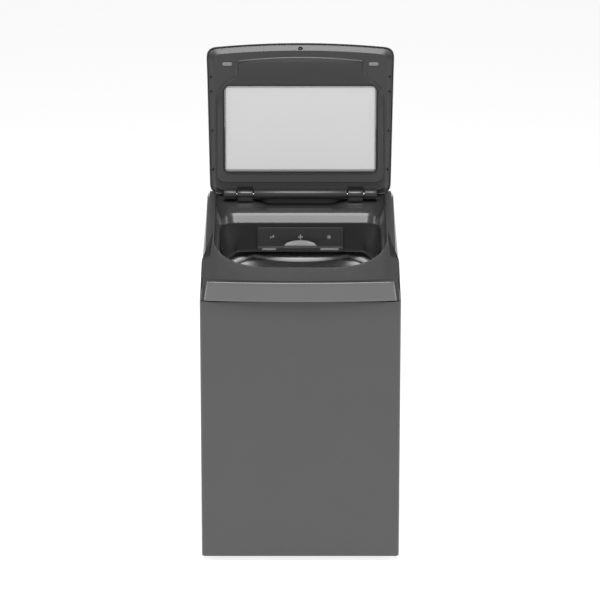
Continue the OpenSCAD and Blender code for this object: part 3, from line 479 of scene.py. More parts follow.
skirt_rings = []
upper = basin(239.6, mouth_front + 9.5, 135.4, 158, 45, 30, step_z - 28)
upper_b = basin(240.5, mouth_front + 8, 133.8, 158, 45, 24, step_z - 31)
skirt_rings += [upper * MM, upper_b * MM]
low_xy = neck(236.0, port_y)
for share in (0.02, 0.2, 0.4, 0.6, 0.8, 0.94):
    x = upper_b[:, 0] + (low_xy[0] - upper_b[:, 0]) * share ** 1.4
    y = upper_b[:, 1] + (low_xy[1] - upper_b[:, 1]) * share ** 1.4
    z = upper_b[:, 2] + (skirt_bottom + 8 - upper_b[:, 2]) * share
    skirt_rings.append(xyz(x, y, z) * MM)
for inset, height in ((0.0, 6.0), (2.5, 2.5), (6.0, 0.6), (9.0, 0.4), (9.5, 3.0)):
    skirt_rings.append(ring(neck(236.0 - inset, port_y - inset * 0.3), skirt_bottom + height))
skirt = add_piece("mouth_skirt", [grid_mesh("skirt", skirt_rings)])
skirt_plastic = moulded("skirt_plastic", (0.03, 0.03, 0.031), 0.5, spread=0.1, grain=1000.0,
                        tint=0.08)
fitted(skirt, skirt_plastic, "cabinet", "skirt_plastic", "inner_skirt")

# ---- Lid panel ----
# The inner face of the lid: a moulded frame with a bevelled front edge, a hand lip, a raised
# surround that drops into the opening, and the hinge barrels along its rear edge.

lid_l = 470.0


def on_lid(points):
    """Points (x, u, w) in millimetres, u forward from the hinge and w out of the lid, placed in the
    open position: turned back 5 degrees past upright about the hinge."""
    points = np.asarray(points, dtype=float)
    x, u, w = points[..., 0], points[..., 1], points[..., 2]
    a = math.radians(95)
    return xyz(x, hinge_y - u * math.cos(a) + w * math.sin(a), hinge_z + u * math.sin(a) + w * math.cos(a)) * MM


def side_half(u):
    """Half width of the lid at a distance from the hinge."""
    return 279.5 + 9.5 * np.asarray(u) / lid_l


def rounded(corners, arc=9, edge=12):
    """A closed outline through (x, u, size) corners, each rounded by a quadratic curve that starts
    size before the corner and ends size after it, with evenly spaced points on the edges between."""
    corners = np.asarray(corners, dtype=float)
    here = corners[:, :2]
    size = corners[:, 2:]
    before = np.roll(here, 1, axis=0) - here
    after = np.roll(here, -1, axis=0) - here
    start = here + before / np.linalg.norm(before, axis=1, keepdims=True) * size
    end = here + after / np.linalg.norm(after, axis=1, keepdims=True) * size
    t = np.linspace(0, 1, arc)[None, :, None]
    bend = (1 - t) ** 2 * start[:, None] + 2 * t * (1 - t) * here[:, None] + t ** 2 * end[:, None]
    s = np.linspace(0, 1, edge + 2)[None, 1:-1, None]
    run = end[:, None] + (np.roll(start, -1, axis=0)[:, None] - end[:, None]) * s
    return np.concatenate([bend, run], axis=1).reshape(-1, 2)


def mirrored(right):
    """A full outline from its right half, listed from the front to the rear as (x, u, size)."""
    left = [(-x, u, size) for x, u, size in reversed(right)]
    return rounded(right + left)


def lid_ring(right, w, arch=15.0, half=289.0, above=365.0):
    """A ring on the lid: an outline with its front edge arched, at height w, a number or array."""
    x, u = mirrored(right).T
    u = u - arch * (x / half) ** 2 * step(u, above, above + 60)
    return xyz(x, u, w)


def lid_edge(inset):
    """Corners of the lid's outer edge moved inwards."""
    return [(float(side_half(u)) - inset, u - (inset if u > 450 else 0) + (inset if u < 10 else 0), size)
            for u, size in ((lid_l, 30), (388, 6), (335, 6), (-1.5, 34))]


def surround_depth(u):
    """The raised surround is a wedge: flush near the front lip and deepest towards the hinge."""
    return -12.5 + 14.0 * step(u, 270, 405)


glass_corners = [(180, 340.5, 6), (204, 340.5, 6), (236, 340.5, 24), (236, 67, 24)]


def grown(corners, amount):
    """A rectangle's corners moved outwards."""
    return [(x + amount, u + (amount if u > 300 else -amount), max(size + amount, 2)) for x, u, size in corners]


band_foot = [(271, 447, 26), (270, 390, 6), (269, 335, 6), (263, 13, 26)]
surround_foot = [(197, 429, 12), (199, 372, 16), (258, 334, 36), (260, 36, 30)]
surround_top = [(193, 425, 10), (195, 367, 20), (254.5, 330, 38), (256.5, 40, 28)]
rows = [lid_ring(lid_edge(3.2), 12.0), lid_ring(lid_edge(3.2), 9.4), lid_ring(lid_edge(3.7), 8.6),
        lid_ring(lid_edge(4.8), 8.2)]
for row in rows:
    row[:, 2] += 5.0 * step(row[:, 1], 428, 452)
edge_row = rows[-1]
foot_row = lid_ring(band_foot, 3.6, above=385)
for share, drop in ((0.25, 0.0), (0.5, 0.0), (0.75, 0.0), (0.93, 0.0)):
    row = edge_row + (foot_row - edge_row) * share
    side = 1 - step(row[:, 1], 412, 438)
    row[:, 2] = edge_row[:, 2] + (3.6 - edge_row[:, 2]) * (share * (1 - side) + share ** 2.2 * side)
    rows.append(row)
rows.append(foot_row)
lip_row = lid_ring(surround_foot, 3.6, arch=14.0, half=190.0, above=385)
for share in (0.04, 0.5, 0.96):
    rows.append(foot_row + (lip_row - foot_row) * share)
rows.append(lip_row)
top_row = lid_ring(surround_top, 0.0, arch=14.0, half=190.0, above=385)
depth = surround_depth(top_row[:, 1])
for share, level in ((0.35, 0.12), (0.6, 0.5), (0.8, 0.88)):
    row = lip_row + (top_row - lip_row) * share
    row[:, 2] = 3.6 + (depth - 3.6) * level
    rows.append(row)
top_row[:, 2] = depth
rows.append(top_row)
groove = [(190, 415, 10), (192, 362, 20), (251, 326, 38), (253, 44, 26)]
for share, cut in ((0.35, 0.0), (0.6, 1.6), (0.85, 1.6), (1.0, 0.0)):
    inner = lid_ring(groove, 0.0, arch=14.0, half=190.0, above=385)
    row = top_row + (inner - top_row) * share
    lip = step(row[:, 1], 380, 392)
    row[:, 2] = surround_depth(row[:, 1]) + cut * lip
    rows.append(row)
last = rows[-1]
window_row = lid_ring(grown(glass_corners, 3.6), 0.0, arch=0.0)
for share in (0.05, 0.35, 0.7, 0.95):
    row = last + (window_row - last) * share
    row[:, 2] = surround_depth(row[:, 1])
    rows.append(row)
for amount, lift in ((3.0, 0.15), (2.6, 0.6)):
    row = lid_ring(grown(glass_corners, amount), 0.0, arch=0.0)
    row[:, 2] = surround_depth(row[:, 1]) + lift
    rows.append(row)
rows.append(lid_ring(grown(glass_corners, 2.6), 2.2, arch=0.0))
panel_points, panel_faces = grid_mesh("panel", [on_lid(row) for row in rows])


def turned(profile, at, axis="x", count=64, closed=False):
    """A solid of revolution: profile of (radius, distance along the axis) in mm, about an axis
    through a point in mm. Zero radius ends close on the axis."""
    profile = np.asarray(profile, dtype=float)
    a = np.linspace(0, 2 * np.pi, count, endpoint=False)
    radius = np.maximum(profile[:, :1], 0.02)
    p, q = radius * np.cos(a), radius * np.sin(a)
    h = np.broadcast_to(profile[:, 1:], p.shape)
    order = {"x": (h, p, q), "y": (q, h, p), "z": (p, q, h)}[axis]
    points = (np.stack(order, axis=-1) + np.asarray(at, dtype=float)) * MM
    return grid_mesh("turned", points, close_rings=closed)


def barrel(x0, x1, r, edge=1.6):
    """A cylinder along X with rolled rims and flat ends."""
    inner = max(r - 6, 0.5)
    return [(0, x0 + 0.4), (inner, x0 + 0.4), (inner + 0.4, x0), (r - edge, x0), (r - 0.45 * edge,
                                                                                  x0 + 0.18 * edge),
            (r, x0 + edge), (r, x1 - edge), (r - 0.45 * edge, x1 - 0.18 * edge), (r - edge, x1),
            (inner + 0.4, x1), (inner, x1 - 0.4), (0, x1 - 0.4)]


hinge_at = (0, hinge_y, hinge_z)
barrels = [turned(barrel(-144, 144, 15.6), hinge_at), turned(barrel(198, 236.5, 15.6), hinge_at),
           turned(barrel(-236.5, -198, 15.6), hinge_at)]
lid_panel = add_piece("lid_panel", [(panel_points, panel_faces)] + barrels, angle=40)
lid_plastic = moulded("lid_plastic", (0.035, 0.035, 0.036), 0.34, spread=0.1, grain=1100.0, bump=0.04,
                      coat=0.25, coat_rough=0.25, tint=0.06)
fitted(lid_panel, lid_plastic, "lid", "inner_plastic", "lid_inner")

# ---- Lid shell ----
# The outer shell of the lid: a thin moulded tray with a rolled rim, clipped round the panel and
# open over the glass.

shell_rows = [lid_ring(lid_edge(3.0), 14.0), lid_ring(lid_edge(2.9), 6.2), lid_ring(lid_edge(2.2), 5.4),
              lid_ring(lid_edge(1.1), 5.3), lid_ring(lid_edge(0.3), 6.0), lid_ring(lid_edge(0.0), 7.2)]
for row in shell_rows[1:]:
    row[:, 2] += 3.4 * step(row[:, 1], 428, 452)
for a in np.linspace(0.0, math.pi / 2, 7):
    shell_rows.append(lid_ring(lid_edge(7.0 * (1 - math.cos(a))), 11.0 + 7.0 * math.sin(a)))
outer_row = shell_rows[-1]
window_out = lid_ring(grown(glass_corners, 2.4), 18.0, arch=0.0)
for share in (0.05, 0.35, 0.7, 0.97):
    shell_rows.append(outer_row + (window_out - outer_row) * share)
for amount, level in ((1.6, 17.9), (0.7, 17.2), (0.4, 16.0), (0.4, 7.4), (2.4, 7.2)):
    shell_rows.append(lid_ring(grown(glass_corners, amount), level, arch=0.0))
lid_shell = add_piece("lid_shell", [grid_mesh("shell", [on_lid(row) for row in shell_rows])], angle=40)
fitted(lid_shell, deck_plastic, "lid", "deck_plastic", "lid_outer")

# ---- Lid glass ----
# A toughened pane 4 mm thick with a printed border of fine dots that thins out inwards, held in a
# black rubber seal.

pane_rows = [lid_ring(grown(glass_corners, 4.0), 0.0, arch=0.0),
             lid_ring(grown(glass_corners, 4.6), 0.4, arch=0.0), lid_ring(grown(glass_corners, 4.6), 3.6, arch=0.0),
             lid_ring(grown(glass_corners, 4.0), 4.0, arch=0.0)]


def capped(rows):
    """Quads between rings of points in metres, with the first and last ring closed by one face."""
    points, quads = grid_mesh("rings", rows)
    count = len(rows[0])
    total = len(rows) * count
    faces = quads.tolist()
    faces.append(list(range(count - 1, -1, -1)))
    faces.append(list(range(total - count, total)))
    return points, faces


pane = add_piece("glass_pane", [capped([on_lid(row) for row in pane_rows])])
glass_mat, glass_shader, glass_where = new_material("pane_glass")
parts_xyz = glass_where.node("ShaderNodeSeparateXYZ", None, {0: glass_where})
pane_x = parts_xyz.math("ABSOLUTE")
pane_z = Socket(glass_mat.node_tree, parts_xyz.out.node.outputs["Z"])
u_mid = (340.5 + 67) / 2
pane_mid_z = (hinge_z + u_mid * math.sin(math.radians(95))) * MM
from_side = (236 * MM) - pane_x
from_top = (136.75 * MM) - (pane_z - pane_mid_z).math("ABSOLUTE")
from_edge = from_side.math("MINIMUM", from_top)
pane_flat = glass_where.node("ShaderNodeCombineXYZ", None, {0: pane_x, 1: pane_z})
dots = glass_where.node("ShaderNodeTexVoronoi", {"feature": "F1", "voronoi_dimensions": "2D"},
                        {"Vector": pane_flat, "Scale": 200.0, "Randomness": 0.0})
fade = (from_edge * 85.0).math("MAXIMUM", 0.0).math("MINIMUM", 1.0)
solid_edge = (pane_z - pane_mid_z).math("LESS_THAN", 0.005) * 0.0024 + 0.0012
dot_mask = ((1.0 - fade) * 0.6 - dots).math("GREATER_THAN", 0.0)
dot_mask = dot_mask.math("MAXIMUM", from_edge.math("LESS_THAN", solid_edge))
feed(glass_shader, "Base Color", mixed(glass_where, dot_mask, (0.52, 0.52, 0.525), (0.012, 0.012, 0.013)))
feed(glass_shader, "Alpha", (dot_mask * 0.5 + 0.42).math("MINIMUM", 1.0))
smear = glass_where.node("ShaderNodeTexNoise", None, {"Vector": glass_where, "Scale": 6.0, "Detail": 4.0})
feed(glass_shader, "Roughness", smear * 0.05 + 0.03)
fitted(pane, glass_mat, "lid", "lid_glass", "lid_glass")

# ---- Lid seal ----
# A black extruded rubber profile pushed over the edge of the pane. Its lip stands up inside the
# raised surround and shows as a black line round the window.

seal_rows = []
for amount, level, rise in ((0.2, 0.3, 0), (-0.8, 0.1, 0), (-1.2, -0.5, 0), (-1.2, 1.6, 1), (-0.8, 0.6, 1),
                            (0.2, 0.1, 1), (1.6, 0.1, 1), (2.3, 0.7, 1), (2.4, 2.4, 1), (2.4, 2.6, 0), (5.4, 2.7,
                                                                                                        0),
                            (5.9, 3.2, 0), (5.9, 5.6, 0), (5.2, 6.6, 0), (3.0, 6.9, 0), (0.6, 6.6, 0),
                            (-0.6, 5.6, 0), (-0.9, 4.6, 0), (0.2, 4.1, 0)):
    row = lid_ring(grown(glass_corners, amount), level, arch=0.0)
    if rise:
        row[:, 2] = np.minimum(surround_depth(row[:, 1]) + level, 0.0)
    seal_rows.append(on_lid(row))
seal = add_piece("pane_seal", [grid_mesh("seal", seal_rows, close_rings=True)], angle=50)
rubber = moulded("soft_rubber", (0.012, 0.012, 0.012), 0.62, spread=0.12, grain=700.0, bump=0.1, tint=0.2)
fitted(seal, rubber, "lid", "black_rubber", "glass_seal")

# ---- Lid bumpers ----
# Two pale rubber pads pressed into the front corners of the lid. They land on the deck and keep the
# lid from rattling.


def pad(x0, x1, y0, y1, z0, z1, corner, edge, place=None, steps=5):
    """A rounded block: corners rounded seen from above, and its top and bottom edges rolled."""
    half, mid_x, mid_y = (x1 - x0) / 2, (x0 + x1) / 2, (y0 + y1) / 2
    rows = []
    turn = np.linspace(0, math.pi / 2, steps)
    levels = [(edge * (1 - math.sin(a)), z0 + edge * (1 - math.cos(a))) for a in turn]
    levels += [(edge * (1 - math.cos(a)), z1 - edge * (1 - math.sin(a))) for a in turn]
    for inset, level in levels:
        x, y = loop(half - inset, y0 - mid_y + inset, y1 - mid_y - inset, max(corner - inset, 0.3),
                    max(corner - inset, 0.3), edge=2, arc=6)
        rows.append(xyz(x + mid_x, y + mid_y, level))
    rows = [place(row) if place else row * MM for row in rows]
    return capped(rows)


def lid_pad(x, u, half_x, half_u, low, high, corner, edge):
    """A rounded block on the lid's inner face."""
    return pad(x - half_x, x + half_x, -u - half_u, -u + half_u, low, high, corner, edge,
               lambda row: on_lid(row * np.array([1.0, -1.0, 1.0])))


bumpers = add_piece("lid_pads", [lid_pad(s * 225, 406, 15.0, 5.5, 0.5, 4.2, 5.0, 1.4) for s in (-1, 1)])
pale_rubber = moulded("pale_rubber", (0.2, 0.2, 0.2), 0.5, spread=0.1, grain=800.0, tint=0.05)
fitted(bumpers, pale_rubber, "lid", "grey_plastic", "lid_bumpers")

# ---- Hinge notches ----
# Two near-black pads on the lid's rear edge, above the fixed knuckles, stand for the notches that let the lid swing
# clear: painted shade where shadow shows through the notches. The real notches are moulded with the inner frame.

notch_shade_pads = add_piece("hinge_notch_shade_pads", [pad(s * 171 - 25, s * 171 + 25, -23, -13, 2.6, 4.6, 1.5, 0.6,
                                          lambda row: on_lid(row * np.array([1.0, -1.0, 1.0]))) for s in (-1, 1)])
fitted(notch_shade_pads, moulded("notch_shade", (0.006, 0.006, 0.006), 0.7, spread=0.1),
       "lid", "inner_plastic")

# ---- Lid screws ----
# Eight small pan-head screws along the lid's sides. The real screws have cross recesses and sit in dark
# counterbores; here each head is turned with a shallow round recess, and no counterbores are drawn. They draw the
# inner frame onto the shell.

screw_parts, cup_parts = [], []
for s in (-1, 1):
    for u in (366, 320, 198, 77):
        x = s * (float(side_half(u)) - 10.5)
        level = 3.2
        a = np.linspace(0, 2 * np.pi, 24, endpoint=False)
        for low, high, profile in ((level, level + 1, ((0.02, 0.5), (1.0, 0.5), (1.6, 0.12), (2.7, 0.3), (3.15,
                                                                                                          0.9),
                                                       (3.15, 1.4), (1.7, 1.4), (1.6, 5.5), (0.02, 5.6))),):
            rows = []
            for r, d in profile:
                rows.append(on_lid(xyz(x + r * np.cos(a), u + r * np.sin(a), low + d)))
            screw_parts.append(grid_mesh("screw", rows))
screws = add_piece("lid_screw_set", screw_parts, angle=30)
dark_steel = moulded("dark_screw", (0.025, 0.025, 0.026), 0.4, spread=0.1, grain=500.0, metallic=0.8,
                     tint=0.1)
fitted(screws, dark_steel, "lid", "steel", "lid_screws")

# ---- Hinge ----
# Two fixed knuckles stand up from the top cover between the lid's barrels, and a steel pin runs
# through each of them.

knuckle_parts = []
for s in (-1, 1):
    ends = sorted((s * 146.6, s * 195.4))
    knuckle_parts.append(turned(barrel(ends[0], ends[1], 13.6), hinge_at))
    points, faces = pad(ends[0] + 0.6, ends[1] - 0.6, hinge_y - 10.5, hinge_y + 2.5, hinge_z - 21, hinge_z - 2,
                        3, 1.5)
    knuckle_parts.append((points, faces))
knuckles = add_piece("hinge_knuckles", knuckle_parts, angle=40)
fitted(knuckles, deck_plastic, "cabinet", "deck_plastic", "hinge_blocks")

# ---- Dispenser drawer ----
# A moulded drawer with a dark front plate, three trays behind it, a half-round hand recess, three
# embossed symbols and two plain label strips along its lower lip.

drawer_low, drawer_high = node_box("dispenser_drawer")
plate_half = drawer_high[0]
plate_z0, plate_z1 = drawer_low[2], drawer_high[2]
plate_y = drawer_low[1] + 8
recess_z = plate_z0 + 17


def facing_front(y_at):
    """A placing function: rows drawn as (x, height, towards the viewer) stand upright at a depth."""
    def place(row):
        return xyz(row[:, 0], y_at - row[:, 2], row[:, 1]) * MM
    return place


def front_loop(x0, x1, z0, z1, corner):
    """A rounded rectangle in x and z."""
    x, y = loop((x1 - x0) / 2, -(z1 - z0) / 2, (z1 - z0) / 2, corner, corner, edge=14, arc=8)
    return x + (x0 + x1) / 2, y + (z0 + z1) / 2


plate_rows = []
for inset, out in ((0.0, -4.6), (0.0, -1.2), (0.35, -0.35), (1.2, 0.0)):
    x, z = front_loop(-plate_half + inset, plate_half - inset, plate_z0 + 16, plate_z1 - inset, 5 - inset)
    plate_rows.append(xyz(x, plate_y - out, z))
count = len(plate_rows[0])
outline = np.stack(front_loop(-plate_half + 1.2, plate_half - 1.2, plate_z0 + 16, plate_z1 - 1.2, 4), -1)
angle = np.arctan2(outline[:, 1] - (recess_z + 9), outline[:, 0])
moon_x = np.clip(outline[:, 0], -49, 49)
moon_z = recess_z + 20.0 * np.sqrt(1 - (moon_x / 51.0) ** 2)
flat = outline[:, 1] < recess_z + 4
top_edge = np.where(flat, recess_z + 0.3, moon_z)
side = np.abs(outline[:, 0]) > 49
share = np.clip((outline[:, 1] - (plate_z0 + 16)) / (plate_z1 - 1.2 - plate_z0 - 16), 0, 1)
moon_x = np.where(side, np.sign(outline[:, 0]) * (51 - 1.5 * share), moon_x)
top_edge = np.where(side, recess_z + 0.3 + 4.5 * share, top_edge)
moon = xyz(moon_x, top_edge)
for mix, out in ((0.05, 0.0), (0.5, 0.0), (0.96, 0.0), (1.0, -0.6)):
    flat_row = outline + (moon - outline) * mix
    plate_rows.append(xyz(flat_row[:, 0], plate_y - out, flat_row[:, 1]))
centre = np.array([0.0, recess_z + 9])
for shrink, out in ((0.99, -3.0), (0.97, -7.0), (0.93, -7.6), (0.5, -7.7)):
    inner = centre + (moon - centre) * shrink
    plate_rows.append(xyz(inner[:, 0], plate_y - out, inner[:, 1]))
plate_points, plate_faces = capped([row * MM for row in plate_rows])
drawer_parts = [(plate_points, plate_faces)]
drawer_parts.append(pad(-plate_half, plate_half, plate_y - 8, plate_y + 1, plate_z0, plate_z0 + 16.2, 2.5, 1.6))
tray_back = drawer_high[1]
tray_half = 121.0
tray_z0, tray_z1 = plate_z0 + 7.6, plate_z1 - 7.6
drawer_parts.append(pad(-tray_half, tray_half, plate_y + 4.6, tray_back, tray_z0, tray_z0 + 3, 3, 0.8))
for x0, x1 in ((-tray_half, -tray_half + 2.4), (-41.4, -39.2), (39.2, 41.4), (tray_half - 2.4, tray_half)):
    drawer_parts.append(pad(x0, x1, plate_y + 4.6, tray_back, tray_z0 + 0.5, tray_z1, 0.9, 0.7))
for y0, y1 in ((plate_y + 4.4, plate_y + 8), (tray_back - 2.4, tray_back)):
    drawer_parts.append(pad(-tray_half, tray_half, y0, y1, tray_z0 + 0.5, tray_z1, 0.9, 0.7))
drawer = add_piece("drawer_moulding", drawer_parts, angle=35)
fitted(drawer, moulded("drawer_plastic", (0.062, 0.062, 0.063), 0.42, spread=0.1, grain=1000.0, bump=0.04,
                       tint=0.08),
       "drawer", "skirt_plastic", "dispenser_drawer")

# ---- Drawer symbols and labels ----
# A drop pair, a flower and a round star are raised on the front plate; two pale strips sit on the
# lip and a pale insert fills the hand recess.

symbol_parts = []
symbol_z = plate_z0 + 46


def disc(x, z, rx, rz, out, depth=0.8, count=20, tilt=0.0):
    """A small raised oval standing off the drawer's front."""
    a = np.linspace(0, 2 * np.pi, count, endpoint=False)
    rows = []
    for shrink, high in ((1.0, -0.3), (1.0, out - 0.25), (0.85, out), (0.4, out)):
        px, pz = rx * shrink * np.cos(a), rz * shrink * np.sin(a)
        qx = px * math.cos(tilt) - pz * math.sin(tilt)
        qz = px * math.sin(tilt) + pz * math.cos(tilt)
        rows.append(xyz(x + qx, plate_y - high, z + qz) * MM)
    return capped(rows)


for dx, dz, rx, rz in ((-3.4, -1.4, 2.3, 4.0), (4.2, 1.8, 2.8, 5.0)):
    symbol_parts.append(disc(-88 + dx, symbol_z + dz, rx, rz, 0.6, tilt=-0.35))
for k in range(4):
    a = k * math.pi / 2
    symbol_parts.append(disc(4.6 * math.cos(a), symbol_z + 4.6 * math.sin(a), 3.4, 2.1, 0.6, tilt=a))
symbol_parts.append(disc(0, symbol_z, 2.2, 2.2, 0.8))
for k in range(8):
    a = k * math.pi / 4
    symbol_parts.append(disc(88 + 4.6 * math.cos(a), symbol_z + 4.6 * math.sin(a), 2.2, 1.2, 0.6, tilt=a))
symbol_parts.append(disc(88, symbol_z, 3.4, 3.4, 0.7))
for x0, x1 in ((-118, -76), (62, 118)):
    symbol_parts.append(pad(x0, x1, plate_z0 + 6, plate_z0 + 12.4, 7.9, 8.5, 1.2, 0.25, facing_front(plate_y)))
symbols = add_piece("drawer_symbols", symbol_parts, angle=40)
fitted(symbols, moulded("pale_print", (0.42, 0.42, 0.425), 0.5, spread=0.1, bump=0.02, tint=0.03),
       "drawer", "skirt_plastic")

moon_rows = []
for shrink, out in ((0.985, -7.4), (0.985, -2.6), (0.95, -1.7), (0.45, -1.2)):
    inner = centre + (moon - centre) * shrink
    moon_rows.append(xyz(inner[:, 0], plate_y - out, inner[:, 1]) * MM)
recess_insert = add_piece("recess_insert", [capped(moon_rows)], angle=50)
fitted(recess_insert, moulded("recess_plastic", (0.6, 0.6, 0.605), 0.4, spread=0.1, bump=0.03,
                              tint=0.04),
       "drawer", "skirt_plastic")

# ---- Tub cover ----
# A moulded ring snapped over the tub's rim. It narrows to the laundry mouth, whose rear edge is
# drawn forward in a shallow curve.

cover_low, cover_high = node_box("tub_cover")
ring_r = cover_high[0]
ring_top = cover_high[2]
ring_bottom = cover_low[2]
mouth_r = ring_r - 50
turn = np.linspace(0, 2 * np.pi, 192, endpoint=False)


def tub_ring(radius, z, rear=1e9, bulge=0.0):
    """A ring round the tub axis, its rear cut by a chord that bulges forwards at the middle."""
    x, y = radius * np.cos(turn), tub_y + radius * np.sin(turn)
    limit = rear - bulge * np.clip(1 - (x / 150.0) ** 2, 0, 1)
    return xyz(x, np.minimum(y, limit), z) * MM


chord = 166.0
cover_rows = [tub_ring(ring_r - 2.6, ring_bottom), tub_ring(ring_r - 0.6, ring_bottom),
              tub_ring(ring_r, ring_bottom + 0.8),
              tub_ring(ring_r, ring_top - 5), tub_ring(ring_r - 1.5, ring_top - 1.5), tub_ring(ring_r - 5,
                                                                                               ring_top)]
for r in (258, 256, 254, 240, 234, 231):
    groove_z = ring_top - (1.6 if r in (256, 254) else 0.0) - (0.8 if r == 234 else 0)
    cover_rows.append(tub_ring(r, groove_z, chord + 14, 44))
cover_rows += [tub_ring(mouth_r + 4, ring_top - 0.4, chord + 3, 50),
               tub_ring(mouth_r + 1.2, ring_top - 1.4, chord + 1, 50),
               tub_ring(mouth_r, ring_top - 4, chord, 50), tub_ring(mouth_r, ring_top - 9.4, chord, 50),
               tub_ring(mouth_r + 3, ring_top - 10, chord + 3, 50), tub_ring(mouth_r + 4, ring_top - 6,
                                                                             chord + 6, 50),
               tub_ring(ring_r - 8, ring_top - 4.5), tub_ring(ring_r - 3.4, ring_top - 5.2)]
tub_ring_piece = add_piece("tub_cover_ring", [grid_mesh("tub_cover", cover_rows, close_rings=True)], angle=35)
ring_plastic = moulded("ring_plastic", (0.6, 0.6, 0.605), 0.58, bump=0.04, tint=0.05)
fitted(tub_ring_piece, ring_plastic, "tub", "ring_plastic", "tub_cover")

# ---- Balance ring ----
# A hollow plastic ring filled with salt water, welded from two halves and screwed into the top of
# the basket. A weld bead and a shallow step run round its inner face.

bal_low, bal_high = node_box("balance_ring")
bal_out, bal_in = bal_high[0], mouth_r - 10
b0, b1 = bal_low[2], bal_high[2]
profile = [(bal_out - 3, b0), (bal_out, b0 + 3), (bal_out, b1 - 4), (bal_out - 1.2, b1 - 1.2), (bal_out - 4, b1),
           (bal_in + 16, b1), (bal_in + 13, b1 - 1.6), (bal_in + 10, b1 - 1.2), (bal_in + 4, b1 - 2.5),
           (bal_in + 1, b1 - 6), (bal_in, b1 - 10), (bal_in, b1 - 24), (bal_in + 0.8, b1 - 25.5),
           (bal_in + 0.8, b1 - 27.5), (bal_in, b1 - 29), (bal_in, b0 + 6), (bal_in + 2, b0 + 1.5), (bal_in + 6, b0)]
balance = add_piece("balance_ring_shell", [turned(profile, (0, tub_y, 0), "z", 192, closed=True)], angle=35)
fitted(balance, ring_plastic, "basket", "ring_plastic", "balance_ring")

# ---- Basket ----
# A drum rolled from thin stainless sheet, pierced all over with small drain holes between plain
# bands and crimped to the base.

basket_low, basket_high = node_box("basket")
drum_r = basket_high[0]
d0, d1 = basket_low[2], basket_high[2]
wall = 1.2
drum_profile = [(18, d0), (drum_r - 12, d0), (drum_r - 6, d0 + 1.5), (drum_r - 1.5, d0 + 6), (drum_r, d0 + 12)]
drum_profile += [(drum_r - 0.9 * (k % 2), z) for k, z in enumerate(np.linspace(d0 + 20, d1 - 20, 9))]
drum_profile += [(drum_r, d1 - 4), (drum_r, d1), (drum_r - wall, d1), (drum_r - wall, d1 - 4)]
drum_profile += [(drum_r - wall - 0.9 * (k % 2), z) for k, z in enumerate(np.linspace(d1 - 20, d0 + 20, 9))]
drum_profile += [(drum_r - wall, d0 + 13), (drum_r - 2.8, d0 + 7), (drum_r - 7, d0 + 3), (drum_r - 13, d0 + 2),
                 (18, d0 + 2)]
drum = add_piece("basket_drum", [turned(drum_profile, (0, tub_y, 0), "z", 160, closed=True)], angle=25)
drum_mat, drum_shader, drum_where = new_material("pierced_steel")
cylinder = drum_where.node("ShaderNodeSeparateXYZ", None, {0: drum_where})
cx = cylinder
cy = Socket(drum_mat.node_tree, cylinder.out.node.outputs["Y"]) - tub_y * MM
cz = Socket(drum_mat.node_tree, cylinder.out.node.outputs["Z"])
turn_angle = cy.math("ARCTAN2", cx)
columns = turn_angle * (120 / (2 * math.pi))
lines = cz / 0.0125
shift = (lines * 0.5).math("FLOOR") * 2.0
odd = (lines.math("FLOOR") - shift) * 0.5
across_hole = ((columns + odd).math("FRACT") - 0.5) * 0.0130
up_hole = (lines.math("FRACT") - 0.5) * 0.0125
distance = (across_hole * across_hole + up_hole * up_hole).math("SQRT")
banded = (cz * (2 * math.pi / 0.11)).math("SINE").math("GREATER_THAN", -0.55)
high_enough = cz.math("GREATER_THAN", (d0 + 22) * MM) * cz.math("LESS_THAN", (d1 - 22) * MM)
hole = distance.math("LESS_THAN", 0.0017) * banded * high_enough
brush = drum_where.node("ShaderNodeTexNoise", None,
                        {"Vector": drum_where.node("ShaderNodeMapping", None, {"Vector": drum_where,
                                                                              "Scale": (30.0, 30.0, 1400.0)}),
                         "Scale": 1.0, "Detail": 3.0})
feed(drum_shader, "Base Color", mixed(drum_where, brush, (0.5, 0.5, 0.5), (0.66, 0.66, 0.67)))
feed(drum_shader, "Roughness", brush * 0.2 + 0.22)
feed(drum_shader, "Alpha", 1.0 - hole)
dimple = drum_where.node("ShaderNodeBump", None, {"Strength": 0.5, "Distance": 0.0008,
                                                  "Height": (distance * 300.0).math("MINIMUM", 1.0)})
feed(drum_shader, "Normal", dimple)
drum_shader.inputs["Metallic"].default_value = 1.0
fitted(drum, drum_mat, "basket", "basket_steel", "basket")

# ---- Impeller ----
# A moulded wash plate with six curved fins and rows of drain slots, screwed to the drive shaft
# under a round cap.

imp_low, imp_high = node_box("impeller")
imp_r, imp_z = imp_high[0], imp_low[2]
radii = np.concatenate([[0.02, 20, 40], np.linspace(52, imp_r - 6, 40),
                        [imp_r - 3, imp_r - 1, imp_r, imp_r, imp_r - 2, imp_r - 10, 20, 0.02]])
drops = np.concatenate([np.zeros(3 + 40), [0.4, 1.4, 3.0], [6.2, 8.6, 9.0, 9.5, 9.5]])
fins = np.linspace(0, 2 * np.pi, 240, endpoint=False)
plate_rows2 = []
for index, (r, drop) in enumerate(zip(radii, drops)):
    if index < 43:
        dome = 21.5 - 13 * step(np.array(r), 20, imp_r - 20) + 3 * step(np.array(r), imp_r - 16, imp_r - 4)
        twist = 0.35 * (r / imp_r) ** 2
        wave = np.abs(((fins + twist) * 6 / (2 * np.pi) + 0.5) % 1 - 0.5) * 2 * np.pi * max(r, 1) / 6
        rise = float(step(np.array(r), 46, 66) * (1 - step(np.array(r), imp_r - 26, imp_r - 12)))
        fin = np.exp(-(wave / 7.5) ** 2) * rise
        level = imp_z + dome + fin * (32 - dome)
    else:
        level = imp_z + 9.6 - drop + np.zeros_like(fins)
    plate_rows2.append(xyz(r * np.cos(fins), tub_y + r * np.sin(fins), level) * MM)
wash_plate = add_piece("wash_plate", [grid_mesh("plate", plate_rows2[::-1])], angle=50)
